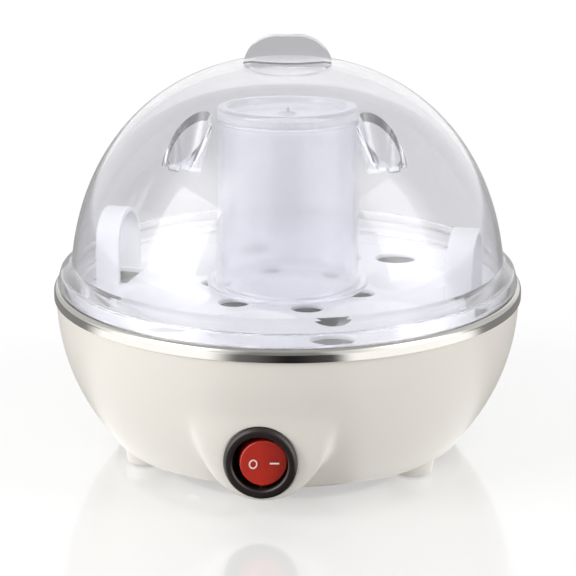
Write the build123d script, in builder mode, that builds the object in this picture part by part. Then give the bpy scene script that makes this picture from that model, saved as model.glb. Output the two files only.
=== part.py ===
from build123d import *
import os
from math import asin, cos, degrees, radians, sin, sqrt

# Electric egg cooker with a lift-off clear lid, a turned-over measuring cup and an egg tray.
# Millimetres. The origin is on the table, on the cooker's axis. The switch faces -Y and +Z is up.

os.makedirs("parts", exist_ok=True)

# Clearances
face_gap = 0.1            # between flat faces that rest on each other
shaft_gap = 0.05          # round pins, screws and spigots in their holes
slip_gap = 0.4            # round walls that lift past each other
rim_gap = 0.3             # between pressed steel and the moulded rim

# Steel pan, whose rolled rim is the bright band round the cooker
band_radius = 80.0
band_height = 4.2
pan_top = 58.8
pan_t = 0.8
ledge_drop = 2.7          # from the rim down to the ledge that carries the tray
ledge_width = 3.2
pan_floor = 35.0
pan_wall_in = 9.5         # from the band in to where the dish's wall begins
pan_wall_drop = 12.8
pan_floor_in = 20.0       # from the band in to the dish's floor

# Moulded housing
rim_lip = 2.2             # wall that stands up under the band
rim_shoulder = 0.3
bowl_height_radius = 74.5
housing_wall = 2.4
housing_bottom = 5.0
floor_t = 3.6
floor_opening_in = 44.0   # from the band in to the opening in the floor
bottom_edge = 2.5

# Feet
foot_count = 3
foot_in = 28.0            # from the band in to the feet
foot_radius = 7.0
foot_flare = 8.2
pad_radius = 5.0
pad_height = 2.2
pad_proud = 0.8

# Switch lobe on the front of the housing
lobe_radius = 21.5
lobe_bottom = 6.4
lobe_front_in = 3.5       # from the band in to the front of the lobe
lobe_flare = 10.6         # degrees, how far each side leans out
lobe_top_drop = 4.6       # from the band's lower edge down to the lobe's top
lobe_edge = 3.5

# Rocker switch
switch_height = 20.0
seat_in = 4.5             # from the band in to the flat that the bezel sits on
bezel_radius = 11.9
bezel_t = 2.4
barrel_radius = 10.0
barrel_length = 17.5
barrel_wall = 0.7
bezel_opening = 8.9
rocker_radius = 7.6
rocker_drum = 9.0
rocker_face = 6.2
rocker_dish = 0.7
rocker_tail = 3.0
rocker_tilt = 12.0        # degrees each way from the middle
hinge_depth = 4.0         # from the bezel's seat back to the hinge
hinge_pin = 1.2
blade_width = 4.8
blade_t = 0.8
blade_length = 10.0
blade_spacing = 9.0

# Heater under the pan
plate_in = 4.0            # from the bracket's upright in to the plate
plate_t = 5.0
element_in = 8.0          # from the plate's edge in to the element
element_tube = 3.2
element_gap_angle = 50.0
element_bend = 5.0
element_leg = 5.0
clamp_t = 1.5
clamp_width = 10.0
clamp_arm = 4.75          # from the element out to the end of each arm
stud_in = 12.0            # from the element in to the studs
stud_radius = 2.0
stud_length = 17.0
nut_across = 7.0
nut_t = 3.2
thermostat_radius = 8.0
thermostat_height = 10.0
thermostat_ear = 11.9
thermostat_tab = 0.8
fuse_radius = 2.2
fuse_length = 11.0

# Bottom cover
cover_t = 1.6
cover_lap = 7.0
cover_screw_lap = 3.5     # from the opening out to the cover screws
cover_slots = 12
cover_slot_in = 12.0      # from the opening in to the middles of the slots
cover_slot_length = 13.0
cover_slot_width = 2.5
screw_radius = 1.45
screw_head = 2.8
boss_radius = 3.6
boss_height = 5.0
screw_head_t = 1.6

# Brackets that hold the pan down
bracket_room = 1.3        # between the bracket's foot and the wall of the bowl
bracket_foot = 5.0        # from the screw out to the bracket's end
bracket_leg_in = 7.0      # from the screw in to the bracket's upright
bracket_width = 12.0
bracket_t = 1.2

# Cord gland at the back
gland_height = 24.0
gland_in = 7.2            # from the band in to the gland's seat
gland_neck = 4.9
gland_bore = 3.3
gland_flange = 6.8
gland_flange_t = 2.2
gland_boss = 8.0
gland_boss_length = 10.8
gland_nut_radius = 7.2
gland_nut_t = 2.4

# Egg tray
tray_turn = 21.5          # degrees, how the tray sits in the photograph
tray_top = 56.0
tray_t = 1.5
tray_border = 7.0         # from the flat plate out to the tray's edge
tray_rise = 1.7
cup_in = 24.7             # from the edge of the flat plate in to the middles of the cups
cup_count = 6
cup_rim = 15.2
cup_sphere = 17.0
cup_drain = 4.0
cup_soft_edge = 1.0
inner_hole_share = 0.5866 # of the cups' circle
inner_hole = 5.15
outer_hole_in = 12.5
outer_hole = 7.2
handle_in = 6.7
handle_span = 23.0
handle_height = 25.0
handle_width = 8.7
handle_t = 1.7
slot_width = 12.6
slot_in = 0.2

# Measuring cup, standing mouth down in the middle of the tray
beaker_room = 11.85       # between the beaker's end and the lid's crown
beaker_radius = 24.2
beaker_draft = 0.4
beaker_t = 1.6
beaker_flange = 27.5
beaker_flange_lift = 1.5
beaker_flange_t = 1.4
beaker_recess = 2.5
beaker_recess_radius = 20.0
beaker_edge = 2.0
pin_radius = 0.6
pin_length = 6.0

# Lid
lid_turn = 5.0            # degrees, how the lid sits in the photograph
dome_in = 5.7             # from the band in to the foot of the dome
dome_rise = 80.6
dome_fullness = 2.18      # 2 is a plain ellipse
dome_base = 4.15          # how far the dome's middle lies below the pan's rim
dome_t = 1.6
crown_t = 3.4
wall_foot = 7.7           # from the pan's rim up to where the dome wall starts
skirt_in = 1.2
skirt_lean = 1.1
skirt_height = 4.2
skirt_t = 1.5
locating_depth = 0.75
fin_lobe = 11.8
fin_spread = 3.3
fin_sink = 3.55           # from the crown down to the middle of the fin's lobes
fin_t = 5.0
fin_rib = 1.6
fin_edge = 0.9
scoop_radius = 120.0
scoop_offset = 6.0
scoop_depth = 1.7
crown_curve = 90.0        # radius of the dome's crown under the scoops
crown_share = 0.56        # of the dome's rise, where the crown's node begins
vent_angle = 38.4
vent_top_radius = 7.4
vent_floor_radius = 5.0
vent_length = 18.4
vent_reach = 26.0
vent_out_share = 0.7052   # of the dome's radius
vent_up_share = 0.6656    # of the dome's rise
vent_lean = 13.4
vent_hole = 2.5
vent_wall = 1.5

# Sizes worked out from the ones above
band_bottom = pan_top - band_height
pan_wall_radius = band_radius - pan_wall_in
pan_wall_height = pan_top - pan_wall_drop
pan_floor_radius = band_radius - pan_floor_in
lobe_front = band_radius - lobe_front_in
lobe_top = band_bottom - lobe_top_drop
seat_front = band_radius - seat_in
foot_circle = band_radius - foot_in
floor_opening = band_radius - floor_opening_in
gland_seat = band_radius - gland_in
gland_boss_back = gland_seat - gland_boss_length
cover_screw_circle = floor_opening + cover_screw_lap
lip_outer = band_radius - pan_t - rim_gap
lip_inner = lip_outer - rim_lip
lip_top = pan_top - pan_t - 0.8
bowl_radius = lip_outer + rim_shoulder
bowl_middle = band_bottom - 0.2
step_radius = lip_inner - rim_gap - pan_t
ledge_height = pan_top - ledge_drop
floor_top = housing_bottom + floor_t
inner_flat, inner_tall = bowl_radius - housing_wall, bowl_height_radius - housing_wall
hollow_foot = inner_flat * sqrt(1 - ((bowl_middle - floor_top) / inner_tall) ** 2)
bracket_reach = hollow_foot - bracket_room
bracket_circle = bracket_reach - bracket_foot
bracket_leg = bracket_circle - bracket_leg_in
plate_radius = bracket_leg - plate_in
element_ring = plate_radius - element_in
stud_circle = element_ring - stud_in
clamp_inner = stud_circle - clamp_width / 2 + 0.5
clamp_outer = clamp_inner + clamp_width
pan_under = pan_floor - pan_t
plate_top = pan_under - 0.05
plate_under = plate_top - plate_t
clamp_top = plate_under - element_tube - 0.05
clamp_under = clamp_top - clamp_t
cover_radius = floor_opening + cover_lap
lobe_middle = lobe_bottom + lobe_radius
lobe_root = band_radius / 2
hinge_y = -(seat_front - hinge_depth)
bezel_front = seat_front + face_gap + bezel_t
barrel_back = seat_front - barrel_length
barrel_inner = barrel_radius - barrel_wall
rim_cut = ledge_height - pan_t - 1.3
wall_cut = pan_under - 0.2
tray_radius = step_radius - 1.5 * slip_gap
tray_under = tray_top - tray_t
tray_flat = tray_radius - tray_border
cup_circle = tray_flat - cup_in
inner_hole_circle = inner_hole_share * cup_circle
outer_hole_circle = tray_flat - outer_hole_in
handle_circle = tray_flat - handle_in
slot_limit = tray_flat - slot_in
dome_radius = band_radius - dome_in
dome_middle = pan_top - dome_base
crown_top = dome_middle + dome_rise
fin_centre = crown_top - fin_sink
vent_floor_out = vent_out_share * dome_radius
vent_floor_height = dome_middle + vent_up_share * dome_rise
beaker_top = crown_top - crown_t - beaker_room
lid_lip = step_radius - slip_gap
handle_angle = tray_turn - 180 / cup_count


def bowl_arc(shrink, low):
    """Spline along the bowl's quarter ellipse, from a low height up to its widest place."""
    flat, tall = bowl_radius - shrink, bowl_height_radius - shrink
    first = asin((low - bowl_middle) / tall)
    turns = [first * (1 - step / 6) for step in range(7)]
    points = [(flat * cos(turn), bowl_middle + tall * sin(turn)) for turn in turns]
    return Spline(*points, tangents=[(-flat * sin(first), tall * cos(first)), (0, 1)])


def dome_point(turn, radius, rise):
    """Point on the dome's outline: turn 0 is its foot and 90 its crown."""
    power = 2 / dome_fullness
    along = max(cos(radians(turn)), 0.0) ** power
    up = sin(radians(turn)) ** power
    return (radius * along, dome_middle + rise * up)


def dome_curve(radius, rise, low):
    """Spline along the dome's outline, from a low height up to the crown."""
    share = ((low - dome_middle) / rise) ** (dome_fullness / 2)
    first = degrees(asin(share))
    steps = 8
    turns = [first + (90 - first) * step / steps for step in range(steps)]
    points = [dome_point(turn, radius, rise) for turn in turns] + [(0, dome_middle + rise)]
    ahead = dome_point(first + 0.2, radius, rise)
    start_way = (ahead[0] - points[0][0], ahead[1] - points[0][1])
    return Spline(*points, tangents=[start_way, (-1, 0)])


def lobe_outline(shrink):
    """Round-bottomed outline of the switch lobe, seen from the front."""
    radius = lobe_radius - shrink
    lean = radians(lobe_flare)
    side_x, side_z = radius * cos(lean), lobe_middle - radius * sin(lean)
    top_x = side_x + (lobe_top - side_z) * sin(lean) / cos(lean)
    CenterArc((0, lobe_middle), radius, 180 + lobe_flare, 180 - 2 * lobe_flare)
    Polyline((side_x, side_z), (top_x, lobe_top), (-top_x, lobe_top), (-side_x, side_z))


def front_plane(distance, height=0.0):
    """Plane square to the front, with its normal towards the user."""
    return Plane(origin=(0, -distance, height), x_dir=(1, 0, 0), z_dir=(0, -1, 0))


def spoke_angles(count, first):
    """Even angles round the axis."""
    return [first + step * 360 / count for step in range(count)]


def around(radius, angle, height=0.0):
    """Location on a circle about the axis, with its X axis pointing outwards."""
    spot = (radius * cos(radians(angle)), radius * sin(radians(angle)), height)
    return Location(spot, (0, 0, angle))


def spot(radius, angle, height=0.0):
    """Location on a circle about the axis, without any turn."""
    return Location((radius * cos(radians(angle)), radius * sin(radians(angle)), height))


def slice_between(whole, low, high):
    """Part of a moulding between two heights, so that hollow shapes stay simple solids."""
    with BuildPart() as piece:
        add(whole.part)
        split(bisect_by=Plane.XY.offset(low), keep=Keep.TOP)
        split(bisect_by=Plane.XY.offset(high), keep=Keep.BOTTOM)
    return piece


def write(builder, name):
    """Label a finished piece and write its file."""
    builder.part.label = name
    export_step(builder.part, f"parts/{name}.step")


# Housing, one moulding in two nodes: the bowl with the switch lobe and feet, and the wall above it
up = (Align.CENTER, Align.CENTER, Align.MIN)
down = (Align.CENTER, Align.CENTER, Align.MAX)

with BuildPart() as lobe_block:
    with BuildSketch(front_plane(lobe_root)):
        with BuildLine():
            lobe_outline(0)
        make_face()
    extrude(amount=band_radius - lobe_root)
    Cylinder(lobe_front, 2 * lobe_top, mode=Mode.INTERSECT)
    lobe_face = lobe_block.faces().sort_by(Axis.Y)[0]
    fillet(lobe_face.edges(), lobe_edge)

with BuildPart() as hollow:
    with BuildSketch(Plane.XZ):
        with BuildLine():
            inner_curve = bowl_arc(housing_wall, floor_top)
            Polyline(inner_curve @ 1, (lip_inner, bowl_middle), (lip_inner, pan_top), (0, pan_top))
            Polyline((0, pan_top), (0, floor_top), inner_curve @ 0)
        make_face()
    revolve(axis=Axis.Z)

with BuildPart() as lobe_hollow:
    with BuildSketch(front_plane(lobe_root - housing_wall)):
        with BuildLine():
            lobe_outline(housing_wall)
        make_face()
    extrude(amount=band_radius - lobe_root)
    Cylinder(lobe_front - housing_wall, 2 * lobe_top, mode=Mode.INTERSECT)

with BuildPart() as whole_housing:
    with BuildSketch(Plane.XZ):
        with BuildLine():
            edge_top = housing_bottom + bottom_edge
            outer_curve = bowl_arc(0, edge_top)
            edge_end = (outer_curve @ 0).X - bottom_edge
            edge_arc = RadiusArc(outer_curve @ 0, (edge_end, housing_bottom), bottom_edge * 1.15)
            Polyline(edge_arc @ 1, (0, housing_bottom), (0, lip_top), (lip_outer, lip_top))
            Polyline((lip_outer, lip_top), (lip_outer, bowl_middle), outer_curve @ 1)
        make_face()
    revolve(axis=Axis.Z)
    add(lobe_block.part)
    for angle in spoke_angles(foot_count, 90):
        with Locations(spot(foot_circle, angle, pad_proud)):
            Cone(foot_radius, foot_flare, floor_top - pad_proud, align=up)
    add(hollow.part, mode=Mode.SUBTRACT)
    add(lobe_hollow.part, mode=Mode.SUBTRACT)
    with Locations(front_plane(-gland_boss_back, gland_height)):
        Cylinder(gland_boss, gland_seat - gland_boss_back, align=down)
    for angle in spoke_angles(3, 30):
        with Locations(spot(cover_screw_circle, angle, housing_bottom)):
            Cylinder(boss_radius, floor_t + boss_height, align=up)
    # Opening in the floor with a seat for the cover
    floor_cut = Location((0, 0, housing_bottom))
    with BuildSketch(Plane.XY.offset(housing_bottom)):
        Circle(floor_opening)
        for angle in spoke_angles(3, 30):
            with Locations(spot(cover_screw_circle, angle)):
                Circle(boss_radius + 0.5, mode=Mode.SUBTRACT)
    extrude(amount=floor_t, mode=Mode.SUBTRACT)
    with Locations(floor_cut):
        Cylinder(cover_radius + slip_gap, cover_t + face_gap, align=up, mode=Mode.SUBTRACT)
    for angle in spoke_angles(3, 30):
        with Locations(spot(cover_screw_circle, angle, housing_bottom)):
            Cylinder(screw_radius + shaft_gap, 8, align=up, mode=Mode.SUBTRACT)
    for angle in spoke_angles(3, 0):
        with Locations(spot(bracket_circle, angle, housing_bottom)):
            Cylinder(screw_radius + shaft_gap, floor_t, align=up, mode=Mode.SUBTRACT)
            Cylinder(screw_head + 0.3, screw_head_t + face_gap, align=up, mode=Mode.SUBTRACT)
    for angle in spoke_angles(foot_count, 90):
        with Locations(spot(foot_circle, angle, pad_proud)):
            Cylinder(pad_radius + shaft_gap, pad_height - pad_proud + face_gap, align=up, mode=Mode.SUBTRACT)
    # Seats for the switch and the cord gland
    with Locations(front_plane(seat_front, switch_height)):
        Cylinder(bezel_radius + slip_gap, 2 * bezel_t, align=up, mode=Mode.SUBTRACT)
        Cylinder(barrel_radius + shaft_gap, 2 * barrel_length + 2, mode=Mode.SUBTRACT)
    with Locations(front_plane(-gland_seat, gland_height)):
        Cylinder(gland_neck + shaft_gap, 3 * gland_boss_length, mode=Mode.SUBTRACT)
        Cylinder(gland_boss, 6, align=down, mode=Mode.SUBTRACT)

housing = slice_between(whole_housing, 0, wall_cut)
housing_collar = slice_between(whole_housing, wall_cut, 2 * pan_top)
write(housing, "housing")
write(housing_collar, "housing_collar")


# Bottom cover with air slots, and the pads under the feet
with BuildPart() as bottom_cover:
    with BuildSketch(Plane.XY.offset(housing_bottom)):
        Circle(cover_radius)
        with PolarLocations(floor_opening - cover_slot_in, cover_slots):
            SlotOverall(cover_slot_length, cover_slot_width, mode=Mode.SUBTRACT)
        with PolarLocations(cover_screw_circle, 3, start_angle=30):
            Circle(screw_radius + shaft_gap, mode=Mode.SUBTRACT)
    extrude(amount=cover_t)
    for angle in spoke_angles(3, 30):
        with Locations(spot(cover_screw_circle, angle, housing_bottom)):
            Cone(screw_head + shaft_gap, screw_radius + shaft_gap, cover_t, align=up, mode=Mode.SUBTRACT)

write(bottom_cover, "bottom_cover")

with BuildPart() as cover_screws:
    for angle in spoke_angles(3, 30):
        with Locations(spot(cover_screw_circle, angle, housing_bottom)):
            Cone(screw_head, screw_radius, cover_t, align=up)
            Cylinder(screw_radius, 7.5, align=up)

write(cover_screws, "cover_screws")

with BuildPart() as foot_pads:
    for angle in spoke_angles(foot_count, 90):
        with Locations(spot(foot_circle, angle)):
            Cylinder(pad_radius, pad_height, align=up)
    pad_rims = foot_pads.edges().filter_by(GeomType.CIRCLE).group_by(Axis.Z)[0]
    fillet(pad_rims, 0.6)

write(foot_pads, "foot_pads")


# Pressed steel pan, one sheet in two nodes: the rim with the band and the tray's ledge, and the water dish
with BuildPart() as whole_pan:
    with BuildSketch(Plane.XZ):
        with BuildLine():
            ledge_inner = step_radius - ledge_width
            rim_points = [(band_radius, band_bottom), (band_radius, pan_top), (step_radius, pan_top)]
            ledge_points = [(step_radius, ledge_height), (ledge_inner, ledge_height)]
            dish_points = [(pan_wall_radius, pan_wall_height), (pan_floor_radius, pan_floor), (0, pan_floor)]
            corner_radii = [2.0, 1.0, 0.9, 1.0, 8.0, 10.0]
            FilletPolyline(*rim_points, *ledge_points, *dish_points, radius=corner_radii)
            offset(amount=pan_t, side=Side.LEFT)
        make_face()
    revolve(axis=Axis.Z)

pan_rim = slice_between(whole_pan, rim_cut, 2 * pan_top)
heating_pan = slice_between(whole_pan, 0, rim_cut)
write(pan_rim, "pan_rim")
write(heating_pan, "heating_pan")

with BuildPart() as pan_seal:
    with BuildSketch(Plane.XY.offset(lip_top + face_gap / 2)):
        Circle(lip_outer - 0.7)
        Circle(lip_inner + 0.2, mode=Mode.SUBTRACT)
    extrude(amount=pan_top - pan_t - lip_top - face_gap)

write(pan_seal, "pan_seal")

with BuildPart() as pan_brackets:
    for angle in spoke_angles(3, 0):
        with BuildPart(mode=Mode.PRIVATE) as bracket:
            bracket_low, bracket_high = floor_top + face_gap, pan_under - face_gap
            with BuildSketch(Plane.XZ.offset(-bracket_width / 2)):
                with BuildLine():
                    high_points = [(bracket_circle, bracket_high), (bracket_leg, bracket_high)]
                    low_points = [(bracket_leg, bracket_low), (bracket_reach, bracket_low)]
                    FilletPolyline(*high_points, *low_points, radius=2.0)
                    offset(amount=bracket_t, side=Side.LEFT)
                make_face()
            extrude(amount=bracket_width)
            with Locations((bracket_circle, 0, bracket_low)):
                Cylinder(screw_radius + shaft_gap, 8, mode=Mode.SUBTRACT)
        add(bracket.part.rotate(Axis.Z, angle))

write(pan_brackets, "pan_brackets")

with BuildPart() as bracket_screws:
    for angle in spoke_angles(3, 0):
        with Locations(spot(bracket_circle, angle, housing_bottom)):
            Cylinder(screw_head, screw_head_t, align=up)
            Cylinder(screw_radius, 7.0, align=up)

write(bracket_screws, "bracket_screws")


# Heater: studs, aluminium plate, tubular element, clamp plate and nuts
with BuildPart() as pan_studs:
    with Locations((0, 0, pan_under)):
        with PolarLocations(stud_circle, 3, start_angle=30):
            Cylinder(stud_radius, stud_length, align=down)

write(pan_studs, "pan_studs")

with BuildPart() as heat_plate:
    with Locations((0, 0, plate_under)):
        Cylinder(plate_radius, plate_t, align=up)
        Torus(element_ring, element_tube + shaft_gap, mode=Mode.SUBTRACT)
        with PolarLocations(stud_circle, 3, start_angle=30):
            Cylinder(stud_radius + shaft_gap, plate_t, align=up, mode=Mode.SUBTRACT)
        with PolarLocations(thermostat_ear, 2):
            Cylinder(screw_radius + shaft_gap, 3.6, align=up, mode=Mode.SUBTRACT)
    plate_rim = heat_plate.edges().filter_by(GeomType.CIRCLE).sort_by(SortBy.RADIUS)[-2:]
    chamfer(plate_rim, 0.6)

write(heat_plate, "heat_plate")

with BuildPart() as heating_element:
    with BuildLine() as element_path:
        ring_start = 90 + element_gap_angle / 2
        ring = CenterArc((0, 0, plate_under), element_ring, ring_start, 360 - element_gap_angle)
        for end, way in ((ring @ 0, ring % 0 * -1), (ring @ 1, ring % 1)):
            turn_end = end + way * element_bend - Vector(0, 0, element_bend)
            pull = element_bend * 0.55
            Bezier(end, end + way * pull, turn_end + Vector(0, 0, pull), turn_end)
            Line(turn_end, turn_end - Vector(0, 0, element_leg))
    path_start = element_path.wires()[0]
    with BuildSketch(Plane(origin=path_start @ 0, z_dir=path_start % 0)):
        Circle(element_tube)
    sweep(path=path_start)
    for end in (path_start @ 0, path_start @ 1):
        with Locations(end):
            Cylinder(1.6, 2.5, align=down)
        with Locations(end - Vector(0, 0, 2.5)):
            Box(blade_width, blade_t, 7.0, align=down)

write(heating_element, "heating_element")

with BuildPart() as clamp_plate:
    with BuildSketch(Plane.XY.offset(clamp_under)):
        Circle(clamp_outer)
        with PolarLocations(0, 3, start_angle=30):
            with Locations(((element_ring + clamp_arm) / 2, 0)):
                SlotOverall(element_ring + clamp_arm, clamp_width)
        Circle(clamp_inner, mode=Mode.SUBTRACT)
        with PolarLocations(stud_circle, 3, start_angle=30):
            Circle(stud_radius + shaft_gap, mode=Mode.SUBTRACT)
    extrude(amount=clamp_t)

write(clamp_plate, "clamp_plate")

with BuildPart() as stud_nuts:
    with BuildSketch(Plane.XY.offset(clamp_under - face_gap / 2)):
        with PolarLocations(stud_circle, 3, start_angle=30):
            RegularPolygon(nut_across / 2, 6, major_radius=False)
            Circle(stud_radius + shaft_gap, mode=Mode.SUBTRACT)
    extrude(amount=-nut_t)

write(stud_nuts, "stud_nuts")


# Thermostat on the heat plate, and the thermal fuse under the clamp plate
with BuildPart() as thermostat:
    with Locations((0, 0, plate_under - face_gap / 2)):
        Cylinder(thermostat_radius, thermostat_height, align=down)
    with BuildSketch(Plane.XY.offset(plate_under - face_gap / 2)):
        SlotCenterToCenter(2 * thermostat_ear, 7.0)
        with PolarLocations(thermostat_ear, 2):
            Circle(screw_radius + shaft_gap, mode=Mode.SUBTRACT)
    extrude(amount=-thermostat_tab)
    blade_root = plate_under - thermostat_height
    with Locations((0, 4.2, blade_root), (0, -4.2, blade_root)):
        Box(blade_width, blade_t, 6.5, align=down)
    body_rim = thermostat.edges().filter_by(GeomType.CIRCLE).sort_by(Axis.Z)[0]
    fillet(body_rim, 0.6)

write(thermostat, "thermostat")

with BuildPart() as thermostat_screws:
    with Locations((0, 0, plate_under - face_gap - thermostat_tab)):
        with PolarLocations(thermostat_ear, 2):
            Cylinder(screw_head - 0.2, 1.8, align=down)
            Cylinder(screw_radius, 4.2, align=up)

write(thermostat_screws, "thermostat_screws")

fuse_depth = clamp_under - face_gap - fuse_radius
with BuildPart() as thermal_fuse:
    with Locations(Plane(origin=(0, stud_circle, fuse_depth), z_dir=(1, 0, 0))):
        Cylinder(fuse_radius, fuse_length)
        Cylinder(fuse_radius - 0.7, fuse_length + 3)
        Cylinder(0.5, fuse_length + 12)

write(thermal_fuse, "thermal_fuse")

with BuildPart() as fuse_clip:
    with BuildSketch(Plane(origin=(0, stud_circle, fuse_depth), z_dir=(1, 0, 0), x_dir=(0, 1, 0))):
        Circle(fuse_radius + 0.9)
        with Locations((0, fuse_radius + 0.05)):
            Rectangle(2 * fuse_radius + 7, 0.9, align=(Align.CENTER, Align.MAX))
        Circle(fuse_radius + shaft_gap, mode=Mode.SUBTRACT)
        Rectangle(2 * (fuse_radius + shaft_gap), 9, align=(Align.CENTER, Align.MIN), mode=Mode.SUBTRACT)
        with Locations((0, fuse_radius + 0.05)):
            Rectangle(30, 5, align=(Align.CENTER, Align.MIN), mode=Mode.SUBTRACT)
    extrude(amount=2.5, both=True)

write(fuse_clip, "fuse_clip")


# Rocker switch
with BuildPart() as switch_body:
    with Locations(front_plane(seat_front + face_gap, switch_height)):
        Cylinder(bezel_radius, bezel_t, align=up)
        Cylinder(barrel_radius, barrel_length, align=down)
    bezel_face = switch_body.faces().sort_by(Axis.Y)[0]
    fillet(bezel_face.edges(), 0.7)
    with Locations(front_plane(bezel_front, switch_height)):
        Cylinder(bezel_opening, bezel_t + 0.4, align=down, mode=Mode.SUBTRACT)
        Cylinder(barrel_inner, bezel_t + barrel_length - 1.6, align=down, mode=Mode.SUBTRACT)
    for side in (-1, 1):
        with Locations((side * (barrel_radius - 0.1), -(lobe_front - housing_wall - 3.6), switch_height)):
            Box(2.2, 3.6, 5.0)
    with Locations((0, hinge_y, switch_height)):
        Cylinder(hinge_pin + shaft_gap, 2 * barrel_radius - 0.4, mode=Mode.SUBTRACT)
    for side in (-1, 1):
        with Locations((side * blade_spacing / 2, -barrel_back, switch_height)):
            Box(blade_t + 0.1, 6, blade_width + 0.1, mode=Mode.SUBTRACT)

write(switch_body, "switch_body")

with BuildPart() as switch_terminals:
    for side in (-1, 1):
        with Locations((side * blade_spacing / 2, -barrel_back - 3.5, switch_height)):
            Box(blade_t, blade_length + 3.5, blade_width, align=(Align.CENTER, Align.MIN, Align.CENTER))

write(switch_terminals, "switch_terminals")

with BuildPart() as rocker:
    with BuildSketch(Plane.XY.offset(switch_height)):
        with BuildLine():
            face_y, tail_y = hinge_y - rocker_face, hinge_y + rocker_tail
            face_points = [(-rocker_drum, face_y), (0, face_y + rocker_dish), (rocker_drum, face_y)]
            Polyline(*face_points, (rocker_drum, tail_y), (-rocker_drum, tail_y), close=True)
        make_face()
    extrude(amount=rocker_radius, both=True)
    with Locations(front_plane(-hinge_y, switch_height)):
        Cylinder(rocker_radius, 30, mode=Mode.INTERSECT)
    with Locations((0, hinge_y, switch_height)):
        Cylinder(rocker_drum, 30, mode=Mode.INTERSECT)
        Cylinder(hinge_pin, 2 * barrel_radius - 0.8)

rocker.part = rocker.part.rotate(Axis((0, hinge_y, 0), (0, 0, 1)), rocker_tilt)
write(rocker, "rocker")


# Cord gland at the back, with its nut inside
with BuildPart() as cord_gland:
    with Locations(front_plane(-gland_seat - face_gap, gland_height)):
        Cylinder(gland_flange, gland_flange_t, align=down)
        Cylinder(gland_neck, gland_seat - gland_boss_back + gland_nut_t + 1.0, align=up)
        Cylinder(gland_bore, 40, mode=Mode.SUBTRACT)
    flange_rims = cord_gland.edges().filter_by(GeomType.CIRCLE).group_by(Axis.Y)[-1]
    fillet(flange_rims, 0.8)

write(cord_gland, "cord_gland")

with BuildPart() as gland_nut:
    with BuildSketch(front_plane(-gland_boss_back + face_gap, gland_height)):
        RegularPolygon(gland_nut_radius, 6, major_radius=False)
        Circle(gland_neck + shaft_gap, mode=Mode.SUBTRACT)
    extrude(amount=gland_nut_t)

write(gland_nut, "gland_nut")


# Egg tray, one moulding in three nodes: bordered plate, seven egg seats and two lifting loops
cup_middle = tray_top + sqrt(cup_sphere**2 - cup_rim**2)
cup_places = [spot(cup_circle, angle, cup_middle) for angle in spoke_angles(cup_count, tray_turn)]
cup_places.append(spot(0, 0, cup_middle))

with BuildPart() as lifting_loop:
    with BuildSketch(Plane.YZ.offset(-handle_width / 2)):
        with BuildLine():
            arch_radius = handle_span / 2
            arch_middle = tray_top + handle_height - arch_radius
            Line((arch_radius + 0.8, tray_top - 0.5), (arch_radius, arch_middle))
            CenterArc((0, arch_middle), arch_radius, 0, 180)
            Line((-arch_radius, arch_middle), (-arch_radius - 0.8, tray_top - 0.5))
            offset(amount=handle_t, side=Side.LEFT)
        make_face()
    extrude(amount=handle_width)
    loop_faces = lifting_loop.faces().group_by(Axis.X)
    fillet(loop_faces[0].edges().filter_by(GeomType.CIRCLE), 0.5)
    split(bisect_by=Plane.XY.offset(tray_top), keep=Keep.TOP)

with BuildPart() as egg_tray:
    with BuildSketch(Plane.XZ):
        with BuildLine():
            border_top, border_under = tray_top + tray_rise, ledge_height + face_gap
            top_points = [(0, tray_top), (tray_flat, tray_top), (tray_flat + 3.2, border_top)]
            edge_points = [(tray_radius, border_top), (tray_radius, border_under)]
            low_points = [(tray_flat + 4.2, border_under), (tray_flat + 1.4, tray_under), (0, tray_under)]
            Polyline(*top_points, *edge_points, *low_points, close=True)
        make_face()
    revolve(axis=Axis.Z)
    with Locations(*cup_places):
        Sphere(cup_sphere, mode=Mode.SUBTRACT)
    cup_rims = egg_tray.edges().filter_by(GeomType.CIRCLE).filter_by_position(Axis.Z, tray_top, tray_top)
    fillet([rim for rim in cup_rims if abs(rim.radius - cup_rim) < 0.1], cup_soft_edge)
    for angle in spoke_angles(cup_count, handle_angle):
        with Locations(spot(inner_hole_circle, angle, tray_top)):
            Cylinder(inner_hole, 4, mode=Mode.SUBTRACT)
    for angle in (handle_angle + 60, handle_angle + 120, handle_angle + 240, handle_angle + 300):
        with Locations(spot(outer_hole_circle, angle, tray_top)):
            Cylinder(outer_hole, 4, mode=Mode.SUBTRACT)
    for angle in (handle_angle, handle_angle + 180):
        with Locations(around(slot_limit - slot_width / 2, angle, tray_top)):
            Box(slot_width, handle_span - 2 * handle_t, 4, mode=Mode.SUBTRACT)

write(egg_tray, "egg_tray")

with BuildPart() as egg_seats:
    with Locations(*cup_places):
        Sphere(cup_sphere + tray_t)
        Sphere(cup_sphere, mode=Mode.SUBTRACT)
        Cylinder(cup_drain, 3 * cup_sphere, mode=Mode.SUBTRACT)
    split(bisect_by=Plane.XY.offset(tray_under), keep=Keep.BOTTOM)

write(egg_seats, "egg_seats")

with BuildPart() as lifting_loops:
    for angle in (handle_angle, handle_angle + 180):
        with Locations(around(handle_circle, angle)):
            add(lifting_loop.part)

write(lifting_loops, "lifting_loops")


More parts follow.
